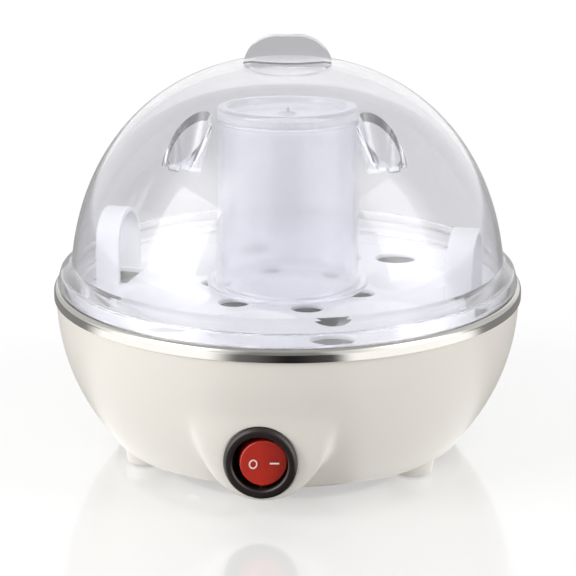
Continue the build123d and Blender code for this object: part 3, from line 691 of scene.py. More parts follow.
@dataclass
class Lid:
    """The clear dome with its standing rim, two steam vents, finger scoops and fin."""

    turn: float = 5.0
    rest: float = 58.8
    radius: float = 74.3
    rise: float = 80.6
    middle: float = 54.65
    fullness: float = 2.18
    wall: float = 1.6
    crown: float = 3.4
    wall_foot: float = 66.5
    wall_flare: float = 0.3
    wall_blend: float = 0.7
    lip: float = 75.2
    lip_width: float = 1.9
    lip_drop: float = 0.75
    lip_taper: float = 0.1
    skirt: float = 78.8
    skirt_gap: float = 0.3
    skirt_wall: float = 1.5
    skirt_rise: float = 4.2
    skirt_lean: float = 1.1
    groove_rise: float = 3.9
    groove_wall: float = 2.4
    groove_edge: float = 3.2
    vent_angle: float = 38.4
    vent_floor: tuple[float, float] = (52.4, 108.3)
    vent_lean: float = 13.4
    vent_radius: float = 5.0
    vent_slope: float = 0.1304
    vent_reach: float = 26.0
    vent_wall: float = 1.5
    slit_sides: Triple = (2.4, 5.0, 5.0)
    slit_shift: tuple[float, float] = (2.7, 0.6)
    slit_lean: float = 13.0
    fin_lobe: float = 11.8
    fin_spread: float = 3.3
    fin_centre: float = 131.7
    fin_thickness: float = 5.0
    fin_bump: float = 1.6
    fin_foot: float = 132.2
    edge: float = 0.9
    scoop_radius: float = 120.0
    scoop_offset: float = 6.0
    scoop_depth: float = 1.7
    scoop_reach: float = 20.0
    crown_ball: float = 90.0

    def curve(self, thinner: float, lower: float, low: float, steps: int = 56) -> Outline:
        """Outline of the dome, from its foot up to the crown.

        Args:
            thinner: How much smaller the radius is than the outside.
            lower: How much lower the crown is than the outside.
            low: Height where it starts.
            steps: Number of edges.

        Returns:
            (radius, height) points that end on the axis.
        """
        radius, rise = self.radius - thinner, self.rise - lower
        first = asin(((low - self.middle) / rise) ** (self.fullness / 2))
        power = 2 / self.fullness
        points = []
        for step in range(steps):
            turn = first + (pi / 2 - first) * step / steps
            points.append((radius * cos(turn) ** power, self.middle + rise * sin(turn) ** power))
        return points + [(0.0, self.middle + rise)]

    def dome(self) -> Piece:
        """The shell of one wall, with its locating lip and skirt.

        Returns:
            The dome without vents, scoops and fin.
        """
        stand, under = self.rest + self.skirt_gap, self.rest - self.lip_drop
        outside = self.curve(0, 0, self.wall_foot + self.wall_blend)
        foot = [
            (self.lip - self.lip_width, under), (self.lip - self.lip_taper, under), (self.lip, stand),
            (self.lip, stand + self.groove_rise), (self.skirt - self.groove_wall, stand + self.groove_edge),
            (self.skirt - self.skirt_wall, stand), (self.skirt, stand),
            (self.skirt - self.skirt_lean, stand + self.skirt_rise),
            (self.radius + self.wall_flare, self.wall_foot), outside[0],
        ]
        foot = softened(foot, [0.3, 0, 0.5, 0.4, 0.4, 0.5, 1.6, 1.2])
        inside = [foot[0]] + self.curve(self.wall, self.crown, self.wall_foot)
        return closed_shell("lid", foot + outside[1:], inside, segments=192)

    def funnel(self, name: str, side: int, wall: float) -> Piece:
        """A leaning cone for a vent.

        Args:
            name: Name of the new object.
            side: -1 for the left vent, 1 for the right one.
            wall: 0 for the space inside it, or the wall of the solid round that space.

        Returns:
            The cone at its place.
        """
        angle = radians(-90 + side * self.vent_angle)
        out = Vector((cos(angle), sin(angle), 0))
        lean = radians(self.vent_lean)
        way = Vector((-sin(lean) * out.x, -sin(lean) * out.y, cos(lean)))
        across = Vector((cos(lean) * out.x, cos(lean) * out.y, sin(lean)))
        beside = way.cross(across)
        floor, height = self.vent_floor
        base = Vector((floor * out.x, floor * out.y, height)) - way * wall
        length = self.vent_reach + wall
        cone = shaped(
            bpy.ops.mesh.primitive_cone_add, name, vertices=72, depth=length * MM,
            radius1=(self.vent_radius + wall * (1 - self.vent_slope)) * MM,
            radius2=(self.vent_radius + wall + self.vent_slope * self.vent_reach) * MM,
            location=(0, 0, length / 2 * MM),
        )
        place = Matrix((across, beside, way)).transposed().to_4x4()
        place.translation = base * MM
        return moved(cone, place)

    def slit(self, side: int) -> Piece:
        """The cutter for the slit through a vent's floor.

        Args:
            side: -1 for the left vent, 1 for the right one.

        Returns:
            The cutter at its place.
        """
        floor, height = self.vent_floor
        out, up = self.slit_shift
        slot = bevelled(block("slit", self.slit_sides), self.edge, 3)
        place = on_circle(floor + out, -90 + side * self.vent_angle, height + up)
        return moved(slot, place @ Matrix.Rotation(radians(-self.slit_lean), 4, "Y"))

    def fin(self) -> Piece:
        """The double-lobed fin with its small middle bump.

        Returns:
            The solid fin, cut level below.
        """
        discs = [
            (-self.fin_spread, 0.0, self.fin_lobe), (self.fin_spread, 0.0, self.fin_lobe),
            (0.0, self.fin_lobe - self.fin_bump, self.fin_bump),
        ]
        first, *others = [
            shaped(
                bpy.ops.mesh.primitive_cylinder_add, "fin", vertices=128, radius=radius * MM,
                depth=self.fin_thickness * MM, rotation=(pi / 2, 0, 0),
                location=(x * MM, 0, (self.fin_centre + rise) * MM),
            )
            for x, rise, radius in discs
        ]
        for other in others:
            first = cut(first, other, Cut.JOIN)
        below = 60.0
        first = cut(first, block("below", (below, below, below), (0, 0, self.fin_foot - below / 2)))
        return bevelled(first, self.edge, 4, 50)

    def scoop(self, side: int) -> Piece:
        """A shallow cap of a large ball, which hollows a finger scoop beside the fin.

        Args:
            side: -1 for the scoop in front, 1 for the one behind.

        Returns:
            The cutter at its place.
        """
        steps, reach = 20, asin(self.scoop_reach / self.scoop_radius)
        turns = [reach * (1 - i / steps) for i in range(steps)]
        cap = [(self.scoop_radius * sin(turn), -self.scoop_radius * cos(turn)) for turn in turns]
        cap.append((0.0, -self.scoop_radius))
        tool = lidded("scoop", cap, cap[0][1] + 4, 128)
        rise = self.scoop_radius - self.scoop_depth
        y = side * (self.scoop_offset + rise * self.scoop_offset / self.crown_ball)
        z = self.middle + self.rise - self.scoop_offset**2 / (2 * self.crown_ball) + rise
        tilt = side * asin(self.scoop_offset / self.crown_ball)
        return moved(tool, at(0, y, z) @ Matrix.Rotation(-tilt, 4, "X"))

    def build(self) -> None:
        """Builds the whole lid."""
        lid = self.dome()
        core_line = self.curve(self.wall / 2, self.crown / 2, self.wall_foot, 40)
        for side in (-1, 1):
            core = lidded("core", core_line, self.wall_foot - 4, 128)
            lid = cut(lid, cut(self.funnel("pocket", side, self.vent_wall), core, Cut.KEEP_SHARED), Cut.JOIN)
            lid = cut(lid, self.funnel("vent", side, 0.0))
            lid = cut(lid, self.slit(side))
        for side in (-1, 1):
            lid = cut(lid, self.scoop(side))
        lid = moved(cut(lid, self.fin(), Cut.JOIN), at(0, 0, 0, self.turn))
        lid.visible_shadow = False
        dress(smooth(lid), Finish.LID, Body.LID, "lid", "lid_wall", "lid_rim", "lid_fin")


@dataclass
class MeasuringCup:
    """The measuring cup, mouth down on the tray, with a flange and a recessed end."""

    mouth: float = 56.1
    top: float = 120.0
    radius: float = 24.2
    end_radius: float = 23.8
    wall: float = 1.6
    flange: float = 27.5
    flange_low: float = 1.5
    flange_thickness: float = 1.4
    recess: float = 20.2
    recess_floor: float = 19.4
    recess_depth: float = 2.5
    boss: float = 3.2
    boss_end: float = 1.6

    def build(self) -> None:
        """Builds the cup."""
        brim = self.mouth + self.flange_low
        flange_top = brim + self.flange_thickness
        dent = self.top - self.recess_depth
        corners = [
            (self.radius - self.wall, self.mouth), (self.radius, self.mouth), (self.radius, brim),
            (self.flange, brim), (self.flange, flange_top), (self.radius + 0.1, flange_top),
            (self.end_radius, self.top), (self.recess, self.top), (self.recess_floor, dent), (0.0, dent),
        ]
        outside = softened(corners, [0.4, 0.3, 0.5, 0.6, 1.0, 1.6, 1.2, 1.2])
        end = dent - self.wall
        inside = softened([corners[0], (self.end_radius - self.wall, end), (0.0, end)], [2.2], 8)
        cup = closed_shell("measuring_cup", outside, inside, segments=144)
        low, middle, high = end + 0.4, end + 1.7, end + 2.3
        boss_line = [(self.boss, low), (self.boss, middle), (self.boss_end, high), (0.0, high)]
        cup = cut(cup, lidded("pin_boss", softened(boss_line, [0.3, 0.5]), low, 48), Cut.JOIN)
        cup.visible_shadow = False
        dress(smooth(cup), Finish.CUP, Body.CUP, "measuring_cup", "cup_wall", "cup_brim")


@dataclass
class EggTray:
    """The white tray with seven egg seats, steam holes and two lifting loops."""

    turn: float = 21.5
    top: float = 56.0
    thickness: float = 1.5
    flat: float = 68.0
    edge: float = 75.0
    border: float = 57.7
    border_foot: float = 56.2
    border_width: tuple[float, float] = (3.2, 4.2)
    seat_circle: float = 43.3
    seat_rim: float = 15.2
    seat_ball: float = 17.0
    seat_flare: float = 1.2
    drain: float = 4.0
    steam_circle: float = 25.4
    steam_hole: float = 5.15
    outer_circle: float = 55.5
    outer_hole: float = 7.2
    gap_circle: float = 61.5
    gap_sides: Triple = (12.6, 19.6, 6.0)
    loop_circle: float = 61.3
    loop_span: float = 23.0
    loop_height: float = 25.0
    loop_width: float = 8.7
    loop_thickness: float = 1.7
    loop_lean: float = 0.8

    def plate(self) -> Piece:
        """The flat plate with its raised border.

        Returns:
            The plate without seats and holes.
        """
        low, foot = self.top - self.thickness, self.border_foot
        inner, outer = self.border_width
        above = [
            (self.edge, foot), (self.edge, self.border), (self.flat + inner, self.border),
            (self.flat, self.top), (0.0, self.top),
        ]
        below = [(self.edge, foot), (self.flat + outer, foot), (self.flat + 1.4, low), (0.0, low)]
        return closed_shell(
            "egg_tray", softened(above, [0.6, 1.2, 2.0]), softened(below, [0.8, 2.0]), segments=192
        )

    def ball_line(self, grow: float, last: float, steps: int) -> Outline:
        """Part of an egg seat's ball, from just under the plate's top.

        Args:
            grow: How much larger the ball is than the seat's inside.
            last: Angle where it would end after 22 edges.
            steps: Number of points.

        Returns:
            (radius, height) points.
        """
        middle = self.top + sqrt(self.seat_ball**2 - self.seat_rim**2)
        ball = self.seat_ball + grow
        first = -asin((middle - self.top + 0.9) / ball)
        turns = [first + (last - first) * i / 22 for i in range(steps)]
        return [(ball * cos(turn), middle + ball * sin(turn)) for turn in turns]

    def bowl(self) -> Piece:
        """The bowl that hangs under the plate.

        Returns:
            The solid bowl on the axis.
        """
        line = self.ball_line(self.thickness, -pi / 2, 22)
        middle = self.top + sqrt(self.seat_ball**2 - self.seat_rim**2)
        line.append((0.0, middle - self.seat_ball - self.thickness))
        return lidded("bowl", line, line[0][1], 96)

    def hollow(self) -> Piece:
        """The cutter that hollows a seat: a flared rim, then the ball down to its drain hole.

        Returns:
            The cutter on the axis.
        """
        line = self.ball_line(0.0, -pi / 2 + asin(self.drain / self.seat_ball), 23)
        rim, flare = line[0][0], self.seat_flare
        neck = [
            (rim + flare * 1.5, self.top + 3.0), (rim + flare * 1.5, self.top + 0.02),
            (rim + flare * 0.75, self.top - 0.12), (rim + flare * 0.3, self.top - 0.42),
        ]
        low = self.top + sqrt(self.seat_ball**2 - self.seat_rim**2) - self.seat_ball - 4
        return lidded("hollow", neck + line + [(self.drain, low), (0.0, low)], self.top + 3.0, 96)

    def hole(self, radius: float) -> Piece:
        """A cutter for a steam hole.

        Args:
            radius: Radius of the hole below its softened edge.

        Returns:
            The cutter on the axis.
        """
        low = self.top - self.thickness - 2
        line = [
            (radius + 0.6, self.top + 1), (radius + 0.5, self.top), (radius, self.top - 0.4), (radius, low),
            (0.0, low),
        ]
        return lidded("hole", softened(line, [0.3, 0.3, 0], 3), self.top + 1, 64)

    def loop(self) -> Piece:
        """A lifting loop: a strap that rises from the plate, goes over in a half circle and comes down.

        Returns:
            The loop on the axis.
        """
        half = self.loop_span / 2 - self.loop_thickness / 2
        shoulder = self.top + self.loop_height - self.loop_span / 2
        foot = self.top - 0.7
        start = (0, (half + self.loop_lean) * MM, foot * MM)
        strap = shaped(bpy.ops.mesh.primitive_plane_add, "lifting_loop", size=MM, location=start)
        with editing(strap):
            bpy.ops.transform.resize(value=(self.loop_width, self.loop_thickness, 1), center_override=start)
            bpy.ops.mesh.delete(type="ONLY_FACE")
            bpy.ops.mesh.select_mode(type="EDGE")
            bpy.ops.mesh.select_all(action="SELECT")
            rise = (0, -self.loop_lean * MM, (shoulder - foot) * MM)
            bpy.ops.mesh.extrude_edges_move(TRANSFORM_OT_translate={"value": rise})
            bpy.ops.mesh.spin(steps=28, angle=-pi, center=(0, 0, shoulder * MM), axis=(1, 0, 0))
            fall = (0, -self.loop_lean * MM, (foot - shoulder) * MM)
            bpy.ops.mesh.extrude_edges_move(TRANSFORM_OT_translate={"value": fall})
            bpy.ops.mesh.select_all(action="SELECT")
            bpy.ops.mesh.fill_holes(sides=4)
        return bevelled(face_outwards(strap), 0.45, 3, 50)

    def build(self) -> None:
        """Builds the tray."""
        tray = self.plate()
        places = [on_circle(self.seat_circle, self.turn + 60 * i) for i in range(6)] + [at(0, 0, 0)]
        for tool, how in ((self.bowl(), Cut.JOIN), (self.hollow(), Cut.TAKE_AWAY)):
            for place in places:
                tray = cut(tray, moved(copied(tool, "seat_tool"), place), how)
            bpy.data.objects.remove(tool, do_unlink=True)
        gaps = [self.turn - 30 + 60 * i for i in range(6)]
        for angle in gaps:
            tray = cut(tray, moved(self.hole(self.steam_hole), on_circle(self.steam_circle, angle)))
        for i in (1, 2, 4, 5):
            tray = cut(tray, moved(self.hole(self.outer_hole), on_circle(self.outer_circle, gaps[i])))
        for i in (0, 3):
            gap = moved(block("gap", self.gap_sides), on_circle(self.gap_circle, gaps[i], self.top))
            tray = cut(tray, gap)
            tray = cut(tray, moved(self.loop(), on_circle(self.loop_circle, gaps[i])), Cut.JOIN)
        dress(smooth(tray), Finish.TRAY, Body.TRAY, "egg_tray", "egg_seats", "lifting_loops")


@dataclass
class Housing:
    """The cream bowl, one moulding with the switch lobe, the feet and the seats for switch and cord gland."""

    radius: float = 79.2
    tall: float = 74.5
    middle: float = 54.4
    bottom: float = 5.0
    bottom_edge: float = 2.0
    floor: float = 8.6
    wall: float = 2.4
    lip_outside: float = 78.9
    lip_inside: float = 76.7
    lip_top: float = 57.2
    rough_top: float = 59.2
    opening: float = 36.0
    cover: float = 43.4
    cover_seat: float = 6.7
    screw_circle: float = 39.5
    screw_hole: float = 1.5
    boss: float = 3.6
    boss_top: float = 13.6
    bracket_circle: float = 53.01
    bracket_screw: float = 3.1
    foot_circle: float = 52.0
    foot_low: float = 7.0
    foot_high: float = 8.2
    foot_length: float = 7.8
    foot_middle: float = 4.7
    pad: float = 5.05
    pad_top: float = 2.3
    lobe_radius: float = 21.5
    lobe_height: float = 27.9
    lobe_flare: float = 10.6
    lobe_front: float = 76.5
    lobe_top: float = 50.0
    lobe_depth: float = 40.0
    lobe_middle: float = -60.0
    lobe_hollow: float = 16.0
    switch_height: float = 20.0
    switch_seat: float = 75.5
    bezel: float = 12.3
    barrel: float = 10.05
    gland_height: float = 24.0
    gland_boss: float = 8.0
    gland_face: float = 72.8
    gland_hole: float = 4.95
    grain: float = 0.85
    blend_back: float = -48.0
    blend_side: float = 38.0
    blend_top: float = 53.5
    blend_low: float = 7.5
    blend_fade: float = 8.0
    blend_least: float = 0.45
    blend_rounds: int = 70

    def side(self, thinner: float, low: float, steps: int = 40) -> Outline:
        """Quarter ellipse of the bowl's side.

        Args:
            thinner: How much smaller it is than the outside.
            low: Height where it ends.
            steps: Number of edges.

        Returns:
            (radius, height) points, from the widest place down.
        """
        radius, tall = self.radius - thinner, self.tall - thinner
        first = asin((low - self.middle) / tall)
        turns = [first * (1 - i / steps) for i in range(steps, -1, -1)]
        return [(radius * cos(turn), self.middle + tall * sin(turn)) for turn in turns]

    def level_rod(self, radius: float, height: float, back: float, front: float) -> Piece:
        """A round solid that points to the front, between two places on the Y axis."""
        half = abs(front - back) / 2
        return moved(rod("level_rod", radius, -half, half), at(0, (back + front) / 2, height) @ FACING_FRONT)

    def lobe(self) -> Piece:
        """The solid lobe: round below, with sides that lean out above, and as curved in front as the bowl.

        Returns:
            The lobe at its place.
        """
        lean = radians(self.lobe_flare)
        half_low = self.lobe_radius * cos(lean)
        low = self.lobe_height - self.lobe_radius * sin(lean)
        half_high = half_low + (self.lobe_top - low) * tan(lean)
        neck = block(
            "lobe", (2 * half_low, self.lobe_depth, self.lobe_top - low),
            (0, self.lobe_middle, (self.lobe_top + low) / 2),
        )
        with editing(neck):
            bpy.ops.mesh.select_all(action="DESELECT")
        for corner in neck.data.vertices:
            corner.select = corner.co.z > (self.lobe_top - 1) * MM
        bpy.ops.object.mode_set(mode="EDIT")
        top = (0, self.lobe_middle * MM, self.lobe_top * MM)
        bpy.ops.transform.resize(value=(half_high / half_low, 1, 1), center_override=top)
        bpy.ops.object.mode_set(mode="OBJECT")
        front = self.lobe_middle - self.lobe_depth / 2
        round_end = self.level_rod(self.lobe_radius, self.lobe_height, front + self.lobe_depth, front)
        lobe = cut(neck, round_end, Cut.JOIN)
        return cut(lobe, rod("front", self.lobe_front, 0, 80), Cut.KEEP_SHARED)

    def blended(self, piece: Piece) -> Piece:
        """Blends the lobe into the bowl, as the mould does: an even skin, smoothed round the lobe alone.

        Args:
            piece: The solid bowl with its lobe.

        Returns:
            The piece.
        """
        applied(piece, "REMESH", mode="VOXEL", voxel_size=self.grain * MM)
        soft = piece.vertex_groups.new(name="soft")
        for corner in piece.data.vertices:
            x, y, z = (c / MM for c in corner.co)
            if y > self.blend_back or z > self.blend_top:
                continue
            beside = min(max((self.blend_side - abs(x)) / self.blend_fade, 0.0), 1.0)
            upper = min(max((z - self.blend_low) / self.blend_fade, self.blend_least), 1.0)
            under_rim = min((self.blend_top - z) * 2 / self.blend_fade, 1.0)
            soft.add([corner.index], beside * upper * under_rim, "REPLACE")
        applied(piece, "SMOOTH", factor=0.5, iterations=self.blend_rounds, vertex_group=soft.name)
        piece.vertex_groups.clear()
        return piece

    def bowl(self) -> Piece:
        """The solid bowl with its lobe blended in, cut level at the lip.

        Returns:
            The housing without feet, hollow and openings.
        """
        outside = [(self.lip_outside, self.rough_top), (self.lip_outside, self.middle)]
        outside += self.side(0, self.bottom + 2.5)
        edge = outside.pop()
        outside += softened([edge, (edge[0] - 1.1, self.bottom), (0.0, self.bottom)], [self.bottom_edge])
        bowl = lidded("housing", outside, self.rough_top, 256)
        bowl = self.blended(cut(bowl, self.lobe(), Cut.JOIN))
        return cut(bowl, rod("level", self.radius + 5, self.lip_top, self.rough_top + 5))

    def openings(self) -> Iterator[tuple[Piece, Cut]]:
        """The tools for gland seat, lobe hollow, switch, floor opening, screws and foot pads, in their order.

        Returns:
            Each tool with what it does.
        """
        face, height = self.gland_face, self.gland_height
        inside, before, behind = 58, -84, 82
        yield self.level_rod(self.gland_boss, height, inside + 4, face), Cut.JOIN
        yield self.level_rod(self.gland_boss, height, face, behind), Cut.TAKE_AWAY
        yield self.level_rod(self.gland_hole, height, inside, behind), Cut.TAKE_AWAY
        yield self.level_rod(
            self.lobe_hollow, self.lobe_height - 2, -45, self.wall - self.lobe_front
        ), Cut.TAKE_AWAY
        yield self.level_rod(self.bezel, self.switch_height, -self.switch_seat, before), Cut.TAKE_AWAY
        yield self.level_rod(self.barrel, self.switch_height, -50, before), Cut.TAKE_AWAY
        yield rod("opening", self.opening, 4, 9), Cut.TAKE_AWAY
        yield rod("cover", self.cover, 4, self.cover_seat), Cut.TAKE_AWAY
        for angle in (30, 150, 270):
            place = on_circle(self.screw_circle, angle)
            yield moved(rod("boss", self.boss, self.cover_seat, self.boss_top), place), Cut.JOIN
            yield moved(rod("screw_hole", self.screw_hole, 4, 13), place), Cut.TAKE_AWAY
        for angle in (0, 120, 240):
            place = on_circle(self.bracket_circle, angle)
            yield moved(rod("screw_head", self.bracket_screw, 4, self.cover_seat), place), Cut.TAKE_AWAY
            yield moved(rod("screw_hole", self.screw_hole, 4, 9), place), Cut.TAKE_AWAY
        for angle in (90, 210, 330):
            place = on_circle(self.foot_circle, angle)
            yield moved(rod("pad", self.pad, 0, self.pad_top), place), Cut.TAKE_AWAY

    def build(self) -> None:
        """Builds the housing."""
        housing = self.bowl()
        for angle in (90, 210, 330):
            foot = shaped(
                bpy.ops.mesh.primitive_cone_add, "foot", vertices=96, radius1=self.foot_low * MM,
                radius2=self.foot_high * MM, depth=self.foot_length * MM,
                location=(0, 0, self.foot_middle * MM),
            )
            housing = cut(housing, moved(foot, on_circle(self.foot_circle, angle)), Cut.JOIN)
        inside = [(self.lip_inside, self.rough_top), (self.lip_inside, self.middle)]
        inside += self.side(self.wall, self.floor) + [(0.0, self.floor)]
        housing = cut(housing, lidded("hollow", inside, self.rough_top, 192))
        for tool, how in self.openings():
            housing = cut(housing, tool, how)
        dress(smooth(housing), Finish.HOUSING, Body.BASE, "housing", "housing_collar")


@dataclass
class Pan:
    """The pressed steel pan: its rolled rim is the bright band, its dish holds the water."""

    band: float = 80.0
    band_foot: float = 54.6
    top: float = 58.8
    rim: float = 75.6
    ledge: float = 72.4
    ledge_height: float = 56.1
    wall_foot: tuple[float, float] = (70.5, 46.0)
    floor: tuple[float, float] = (60.0, 35.0)
    sheet: float = 0.8

    def build(self) -> None:
        """Builds the pan as one sheet with both its sides."""
        sheet, slant = self.sheet, 0.3
        foot, floor = self.wall_foot, self.floor
        shown = [
            (self.band, self.band_foot), (self.band, self.top), (self.rim, self.top),
            (self.rim, self.ledge_height), (self.ledge, self.ledge_height), foot, floor, (0, floor[1]),
        ]
        hidden = [
            (self.band, self.band_foot), (self.band - sheet, self.band_foot),
            (self.band - sheet, self.top - sheet), (self.rim + sheet, self.top - sheet),
            (self.rim + sheet, self.ledge_height - sheet), (self.ledge + sheet, self.ledge_height - sheet),
            (foot[0] + sheet, foot[1] - slant), (floor[0] + slant, floor[1] - sheet), (0, floor[1] - sheet),
        ]
        pan = closed_shell(
            "heating_pan", softened(shown, [2.0, 1.0, 0.9, 1.0, 8.0, 10.0], 8),
            softened(hidden, [0, 1.2, 0.3, 1.5, 0.3, 8.0, 10.0], 5), segments=256,
        )
        dress(smooth(pan), Finish.BAND, Body.BASE, "heating_pan", "pan_rim")


@dataclass
class Switch:
    """The round rocker switch: bezel with its barrel, rocker and two printed marks."""

    height: float = 20.0
    front: float = 78.0
    hinge: float = 71.5
    tilt: float = 12.0
    barrel: float = 10.0
    barrel_end: float = -19.9
    flange: float = 11.9
    window: float = 8.9
    cavity: float = 9.3
    cavity_end: float = -18.3
    blade_side: float = 4.5
    lug_side: float = 9.9
    rocker_radius: float = 7.6
    rocker_drum: float = 9.0
    rocker_face: float = 5.5
    rocker_dish: float = 0.7
    rocker_back: float = 3.0
    pin: float = 1.2
    pin_length: float = 19.2
    mark_side: float = 3.4
    mark_raise: float = 0.015
    mark_depth: float = 0.05

    @property
    def slope(self) -> float:
        """Angle of each half of the rocker's face."""
        return atan2(self.rocker_dish, self.rocker_radius)

    def bezel(self) -> None:
        """The ring with its barrel behind it."""
        line = [
            (self.barrel, self.barrel_end), (self.barrel, -2.4), (self.flange, -2.4), (self.flange, -0.9),
            (self.flange - 0.9, 0.0), (self.window + 0.6, 0.0), (self.window, -0.5), (self.window, -2.8),
            (self.cavity, -2.8), (self.cavity, self.cavity_end), (0.0, self.cavity_end),
        ]
        line = softened(line, [0, 0.2, 0.9, 1.1, 0.5, 0.5, 0, 0, 0])
        ring = lidded("switch_bezel", line, self.barrel_end, 128)
        for side in (-1, 1):
            ring = cut(ring, block("blade_gap", (0.9, 4.9, 6), (side * self.blade_side, 0, -19.1)))
            lug = bevelled(block("lug", (2.2, 5.0, 3.6), (side * self.lug_side, 0, -7.9)), 0.3, 2)
            ring = cut(ring, lug, Cut.JOIN)
        ring = moved(ring, at(0, -self.front, self.height) @ FACING_FRONT)
        dress(smooth(ring), Finish.BLACK, Body.BASE, "switch_body")

    def rocker(self) -> None:
        """The rocker, dished along its middle and pressed in on its right side."""
        rocker = block("rocker", (22, 22, 22))
        wedge, half = 40, 20
        for side in (-1, 1):
            place = at(0, -self.rocker_face - half / cos(self.slope), 0)
            place = place @ Matrix.Rotation(side * self.slope, 4, "Z")
            tool = moved(block("facet", (wedge, wedge, wedge)), place)
            tool = cut(tool, moved(block("half", (wedge, wedge, wedge)), at(-side * half, 0, 0)))
            rocker = cut(rocker, tool)
        rocker = cut(rocker, block("back", (wedge, wedge, wedge), (0, self.rocker_back + half, 0)))
        disc = moved(rod("disc", self.rocker_radius, -15, 15, 160), FACING_FRONT)
        rocker = cut(rocker, disc, Cut.KEEP_SHARED)
        rocker = cut(rocker, rod("drum", self.rocker_drum, -15, 15, 160), Cut.KEEP_SHARED)
        rocker = bevelled(rocker, 0.45, 3, 25)
        rocker = cut(rocker, rod("pin", self.pin, -self.pin_length / 2, self.pin_length / 2, 32), Cut.JOIN)
        rocker = moved(rocker, at(0, -self.hinge, self.height, self.tilt))
        dress(smooth(rocker), Finish.ROCKER, Body.ROCKER, "rocker")

    def mark(self, name: str, side: int, piece: Piece) -> None:
        """Lays a printed mark on one half of the rocker's face.

        Args:
            name: Name of the finished mark.
            side: -1 for the left half, 1 for the right one.
            piece: The mark, lying flat on the axis.
        """
        x = side * self.mark_side
        y = -self.rocker_face - self.rocker_dish * abs(x) / self.rocker_radius - self.mark_raise
        place = at(0, -self.hinge, self.height, self.tilt) @ at(x, y, 0)
        piece = moved(piece, place @ Matrix.Rotation(-side * self.slope, 4, "Z") @ FACING_FRONT)
        piece.name = name
        dress(smooth(piece), Finish.INK, Body.ROCKER)

    def marks(self) -> None:
        """The ring for off and the bar for on."""
        inner, outer, depth = 1.05, 1.5, self.mark_depth
        line = softened([(inner, 0), (inner, depth), (outer, depth), (outer, 0)], [0.03, 0.03], 3)
        ring = closed_shell("mark_ring", line + [(inner, 0.0)], segments=64)
        ring = moved(ring, Matrix.Diagonal((0.93, 1.06, 1, 1)))
        bar = bevelled(block("mark_bar", (3.0, 0.55, depth), (0, 0, depth / 2)), 0.015, 2)
        self.mark("mark_off", -1, ring)
        self.mark("mark_on", 1, bar)

    def build(self) -> None:
        """Builds the switch."""
        self.bezel()
        self.rocker()
        self.marks()


@dataclass
class Works:
    """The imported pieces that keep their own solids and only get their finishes."""

    def build(self) -> None:
        """Gives each kept node the finish of its slot."""
        finishes = {
            "bottom_cover": Finish.COVER, "cover_screws": Finish.ZINC,
            "foot_pads": Finish.RUBBER, "pan_seal": Finish.RUBBER, "pan_brackets": Finish.ZINC,
            "bracket_screws": Finish.ZINC, "pan_studs": Finish.ZINC, "heat_plate": Finish.CAST,
            "heating_element": Finish.SHEATH, "clamp_plate": Finish.ZINC, "stud_nuts": Finish.ZINC,
            "thermostat": Finish.RESIN, "thermostat_screws": Finish.ZINC, "thermal_fuse": Finish.ZINC,
            "fuse_clip": Finish.ZINC, "switch_terminals": Finish.BRASS, "cord_gland": Finish.BLACK,
            "gland_nut": Finish.BLACK, "piercing_pin": Finish.ZINC,
        }
        for node, finish in finishes.items():
            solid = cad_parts[node]
            solid.data.materials.clear()
            solid.data.materials.append(finish.material())
            LOG.info("%s: keeps its solid, in %s", node, finish.value[0].name)


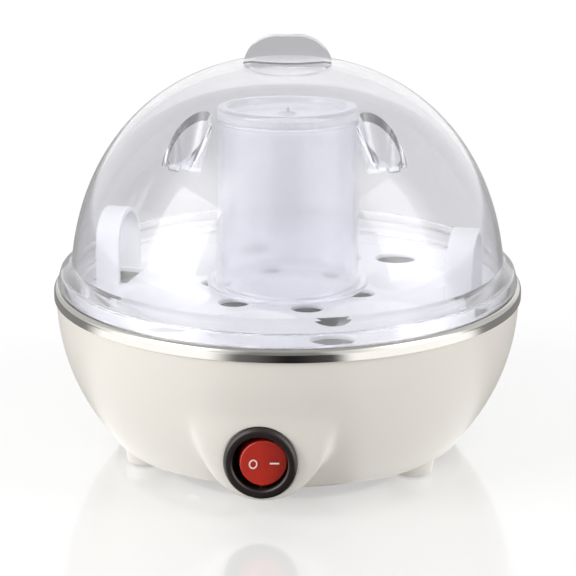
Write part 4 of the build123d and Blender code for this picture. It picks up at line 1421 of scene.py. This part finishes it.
@dataclass
class Studio:
    """The pale floor, the soft light and the camera.

    A patch is a direction, in degrees from the front to the right, with the brightness there. Only mirrored
    rays meet the patches. A lamp is a name, a place and a size in metres, and a power in watts.
    """

    azimuth: float = 6.5
    elevation: float = 16.2
    distance: float = 800.0
    target: float = 60.0
    focal_px: float = 2327.0
    image: float = 576.0
    axis_px: tuple[float, float] = (287.6, 275.1)
    sensor: float = 36.0
    ambient: float = 0.5
    bounce: float = 0.15
    floor_white: float = 0.4
    floor_paint: float = 0.5
    floor_radius: float = 4.0
    ceiling: float = 0.5
    ceiling_fade: tuple[float, float] = (0.7, 0.93)
    lamp_target: Triple = (0.0, 0.0, 0.07)
    lamps: tuple[tuple[str, Triple, tuple[float, float], float], ...] = (
        ("soft_box_left", (-1.0, -0.65, 0.6), (0.7, 0.9), 9.0),
        ("soft_box_right", (1.05, -0.3, 0.6), (0.6, 0.9), 5.0),
        ("top_panel", (0.0, 0.2, 1.4), (1.2, 1.2), 1.6),
    )
    floor_patches: tuple[tuple[float, float], ...] = (
        (-180, 0.5), (-142, 0.3), (-93, 0.3), (-78, 1.5), (-27, 1.5), (-13, 0.18), (7, 0.02), (24, 0.08),
        (34, 1.4), (88, 1.5), (101, 0.3), (150, 0.3), (180, 0.5),
    )
    wall_patches: tuple[tuple[float, float], ...] = (
        (-180, 1.0), (-162, 1.0), (-142, 0.7), (-110, 0.7), (-90, 1.2), (-66, 3.6), (-44, 3.6), (-28, 1.0),
        (-12, 0.3), (20, 0.3), (34, 0.9), (56, 1.4), (70, 3.0), (86, 3.0), (104, 0.8), (142, 0.7), (162, 1.0),
        (180, 1.0),
    )

    def camera(self) -> None:
        """Sets the camera at the photograph's viewing angle."""
        lens = bpy.data.cameras.new("camera")
        lens.sensor_width = self.sensor
        lens.lens = self.focal_px / self.image * self.sensor
        lens.shift_x = (self.image / 2 - self.axis_px[0]) / self.image
        lens.shift_y = (self.axis_px[1] - self.image / 2) / self.image
        lens.clip_start, lens.clip_end = 0.01, 20.0
        eye = bpy.data.objects.new("camera", lens)
        bpy.context.scene.collection.objects.link(eye)
        a, e = radians(self.azimuth), radians(self.elevation)
        way = Vector((sin(a) * cos(e), -cos(a) * cos(e), sin(e)))
        eye.location = way * self.distance * MM + Vector((0, 0, self.target * MM))
        eye.rotation_euler = (-way).to_track_quat("-Z", "Y").to_euler()
        bpy.context.scene.camera = eye

    def round_the_room(self, tree: Tree, place: Socket, patches: Sequence[tuple[float, float]]) -> Socket:
        """Brightness that changes with the direction from the cooker.

        Args:
            tree: Node tree of the floor or the room.
            place: Place on the floor or direction in the room.
            patches: Directions with their brightness.

        Returns:
            The brightness.
        """
        peak = max(light for _, light in patches)
        around = add_node(tree, "ShaderNodeMapping", None, Vector=place, Rotation=(0, 0, pi / 2))
        sweep = add_node(
            tree, "ShaderNodeTexGradient", {"gradient_type": "RADIAL"}, Vector=around.outputs["Vector"]
        )
        ramp = add_node(tree, "ShaderNodeValToRGB", None, Fac=sweep.outputs["Fac"])
        ramp.color_ramp.interpolation = "EASE"
        knots = ramp.color_ramp.elements
        while len(knots) > 1:
            knots.remove(knots[-1])
        for number, (direction, light) in enumerate(patches):
            where = 0.5 + direction / 360
            knot = knots[0] if number == 0 else knots.new(where)
            knot.position = where
            knot.color = (light / peak, light / peak, light / peak, 1)
        return add_node(
            tree, "ShaderNodeMath", {"operation": "MULTIPLY"}, i0=ramp.outputs["Color"], i1=peak
        ).outputs[0]

    def floor(self) -> None:
        """A wide glossy white floor that keeps the cooker's shadow.

        Steel shows it with the soft boxes' bright patches left and right and the dark of the room between.
        """
        board = shaped(
            bpy.ops.mesh.primitive_circle_add, "floor", vertices=96, radius=self.floor_radius,
            fill_type="NGON",
        )
        material, tree, out = blank_material("white_board")
        seen, glossy = ray_kinds(tree)
        paint = add_node(
            tree, "ShaderNodeBsdfPrincipled", None, Base_Color=(self.floor_paint,) * 3 + (1,), Roughness=0.1,
            IOR=2.0, Specular_IOR_Level=0.8,
        )
        white = between(tree, seen, self.bounce, self.floor_white)
        glow = add_node(tree, "ShaderNodeEmission", None, Color=(1, 1, 1, 1), Strength=white)
        lit = add_node(tree, "ShaderNodeAddShader", None, i0=paint.outputs[0], i1=glow.outputs[0])
        place = add_node(tree, "ShaderNodeTexCoord").outputs["Object"]
        patches = self.round_the_room(tree, place, self.floor_patches)
        mirrored = add_node(tree, "ShaderNodeEmission", None, Color=(1, 1, 1, 1), Strength=patches)
        both = add_node(
            tree, "ShaderNodeMixShader", None, i0=glossy, i1=lit.outputs[0], i2=mirrored.outputs[0]
        )
        tree.links.new(both.outputs[0], out.inputs["Surface"])
        board.data.materials.append(material)

    def lamp(self, name: str, place: Triple, size: tuple[float, float], watts: float) -> None:
        """A soft box that points at the cooker, which mirrored rays meet as a patch instead.

        Args:
            name: Name of the lamp.
            place: Where it stands, in metres.
            size: Its width and height in metres.
            watts: Its power.
        """
        light = bpy.data.lights.new(name, "AREA")
        light.shape = "RECTANGLE"
        light.size, light.size_y = size
        light.energy = watts
        box = bpy.data.objects.new(name, light)
        bpy.context.scene.collection.objects.link(box)
        box.location = place
        box.rotation_euler = (Vector(self.lamp_target) - Vector(place)).to_track_quat("-Z", "Y").to_euler()
        box.visible_glossy = False

    def room(self) -> None:
        """A white room for all but mirrored light, which meets soft boxes, dark gaps and a dark ceiling."""
        world = bpy.data.worlds.new("room")
        bpy.context.scene.world = world
        world.use_nodes = True
        tree = world.node_tree
        tree.nodes.clear()
        out = add_node(tree, "ShaderNodeOutputWorld")
        seen, glossy = ray_kinds(tree)
        way = add_node(tree, "ShaderNodeTexCoord").outputs["Generated"]
        walls = self.round_the_room(tree, way, self.wall_patches)
        up = add_node(tree, "ShaderNodeSeparateXYZ", None, Vector=way).outputs["Z"]
        low, high = self.ceiling_fade
        overhead = add_node(
            tree, "ShaderNodeMapRange", {"interpolation_type": "SMOOTHSTEP"}, Value=up,
            From_Min=low, From_Max=high,
        ).outputs["Result"]
        mirrored = between(tree, overhead, walls, self.ceiling)
        strength = between(tree, seen, between(tree, glossy, self.ambient, mirrored), 1.0)
        sky = add_node(tree, "ShaderNodeBackground", None, Color=(1, 1, 1, 1), Strength=strength)
        tree.links.new(sky.outputs[0], out.inputs["Surface"])

    def build(self) -> None:
        """Sets up floor, light and camera."""
        bpy.context.scene.view_settings.view_transform = "Standard"
        self.camera()
        self.floor()
        self.room()
        for lamp in self.lamps:
            self.lamp(*lamp)


def main() -> None:
    """Builds the cooker piece by piece."""
    logging.basicConfig(level=logging.INFO, format="%(name)s: %(message)s")
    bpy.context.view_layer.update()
    Studio().build()
    Works().build()
    for assembly in (Housing(), Pan(), EggTray(), MeasuringCup(), Switch(), Lid()):
        assembly.build()


if __name__ == "__main__":
    main()
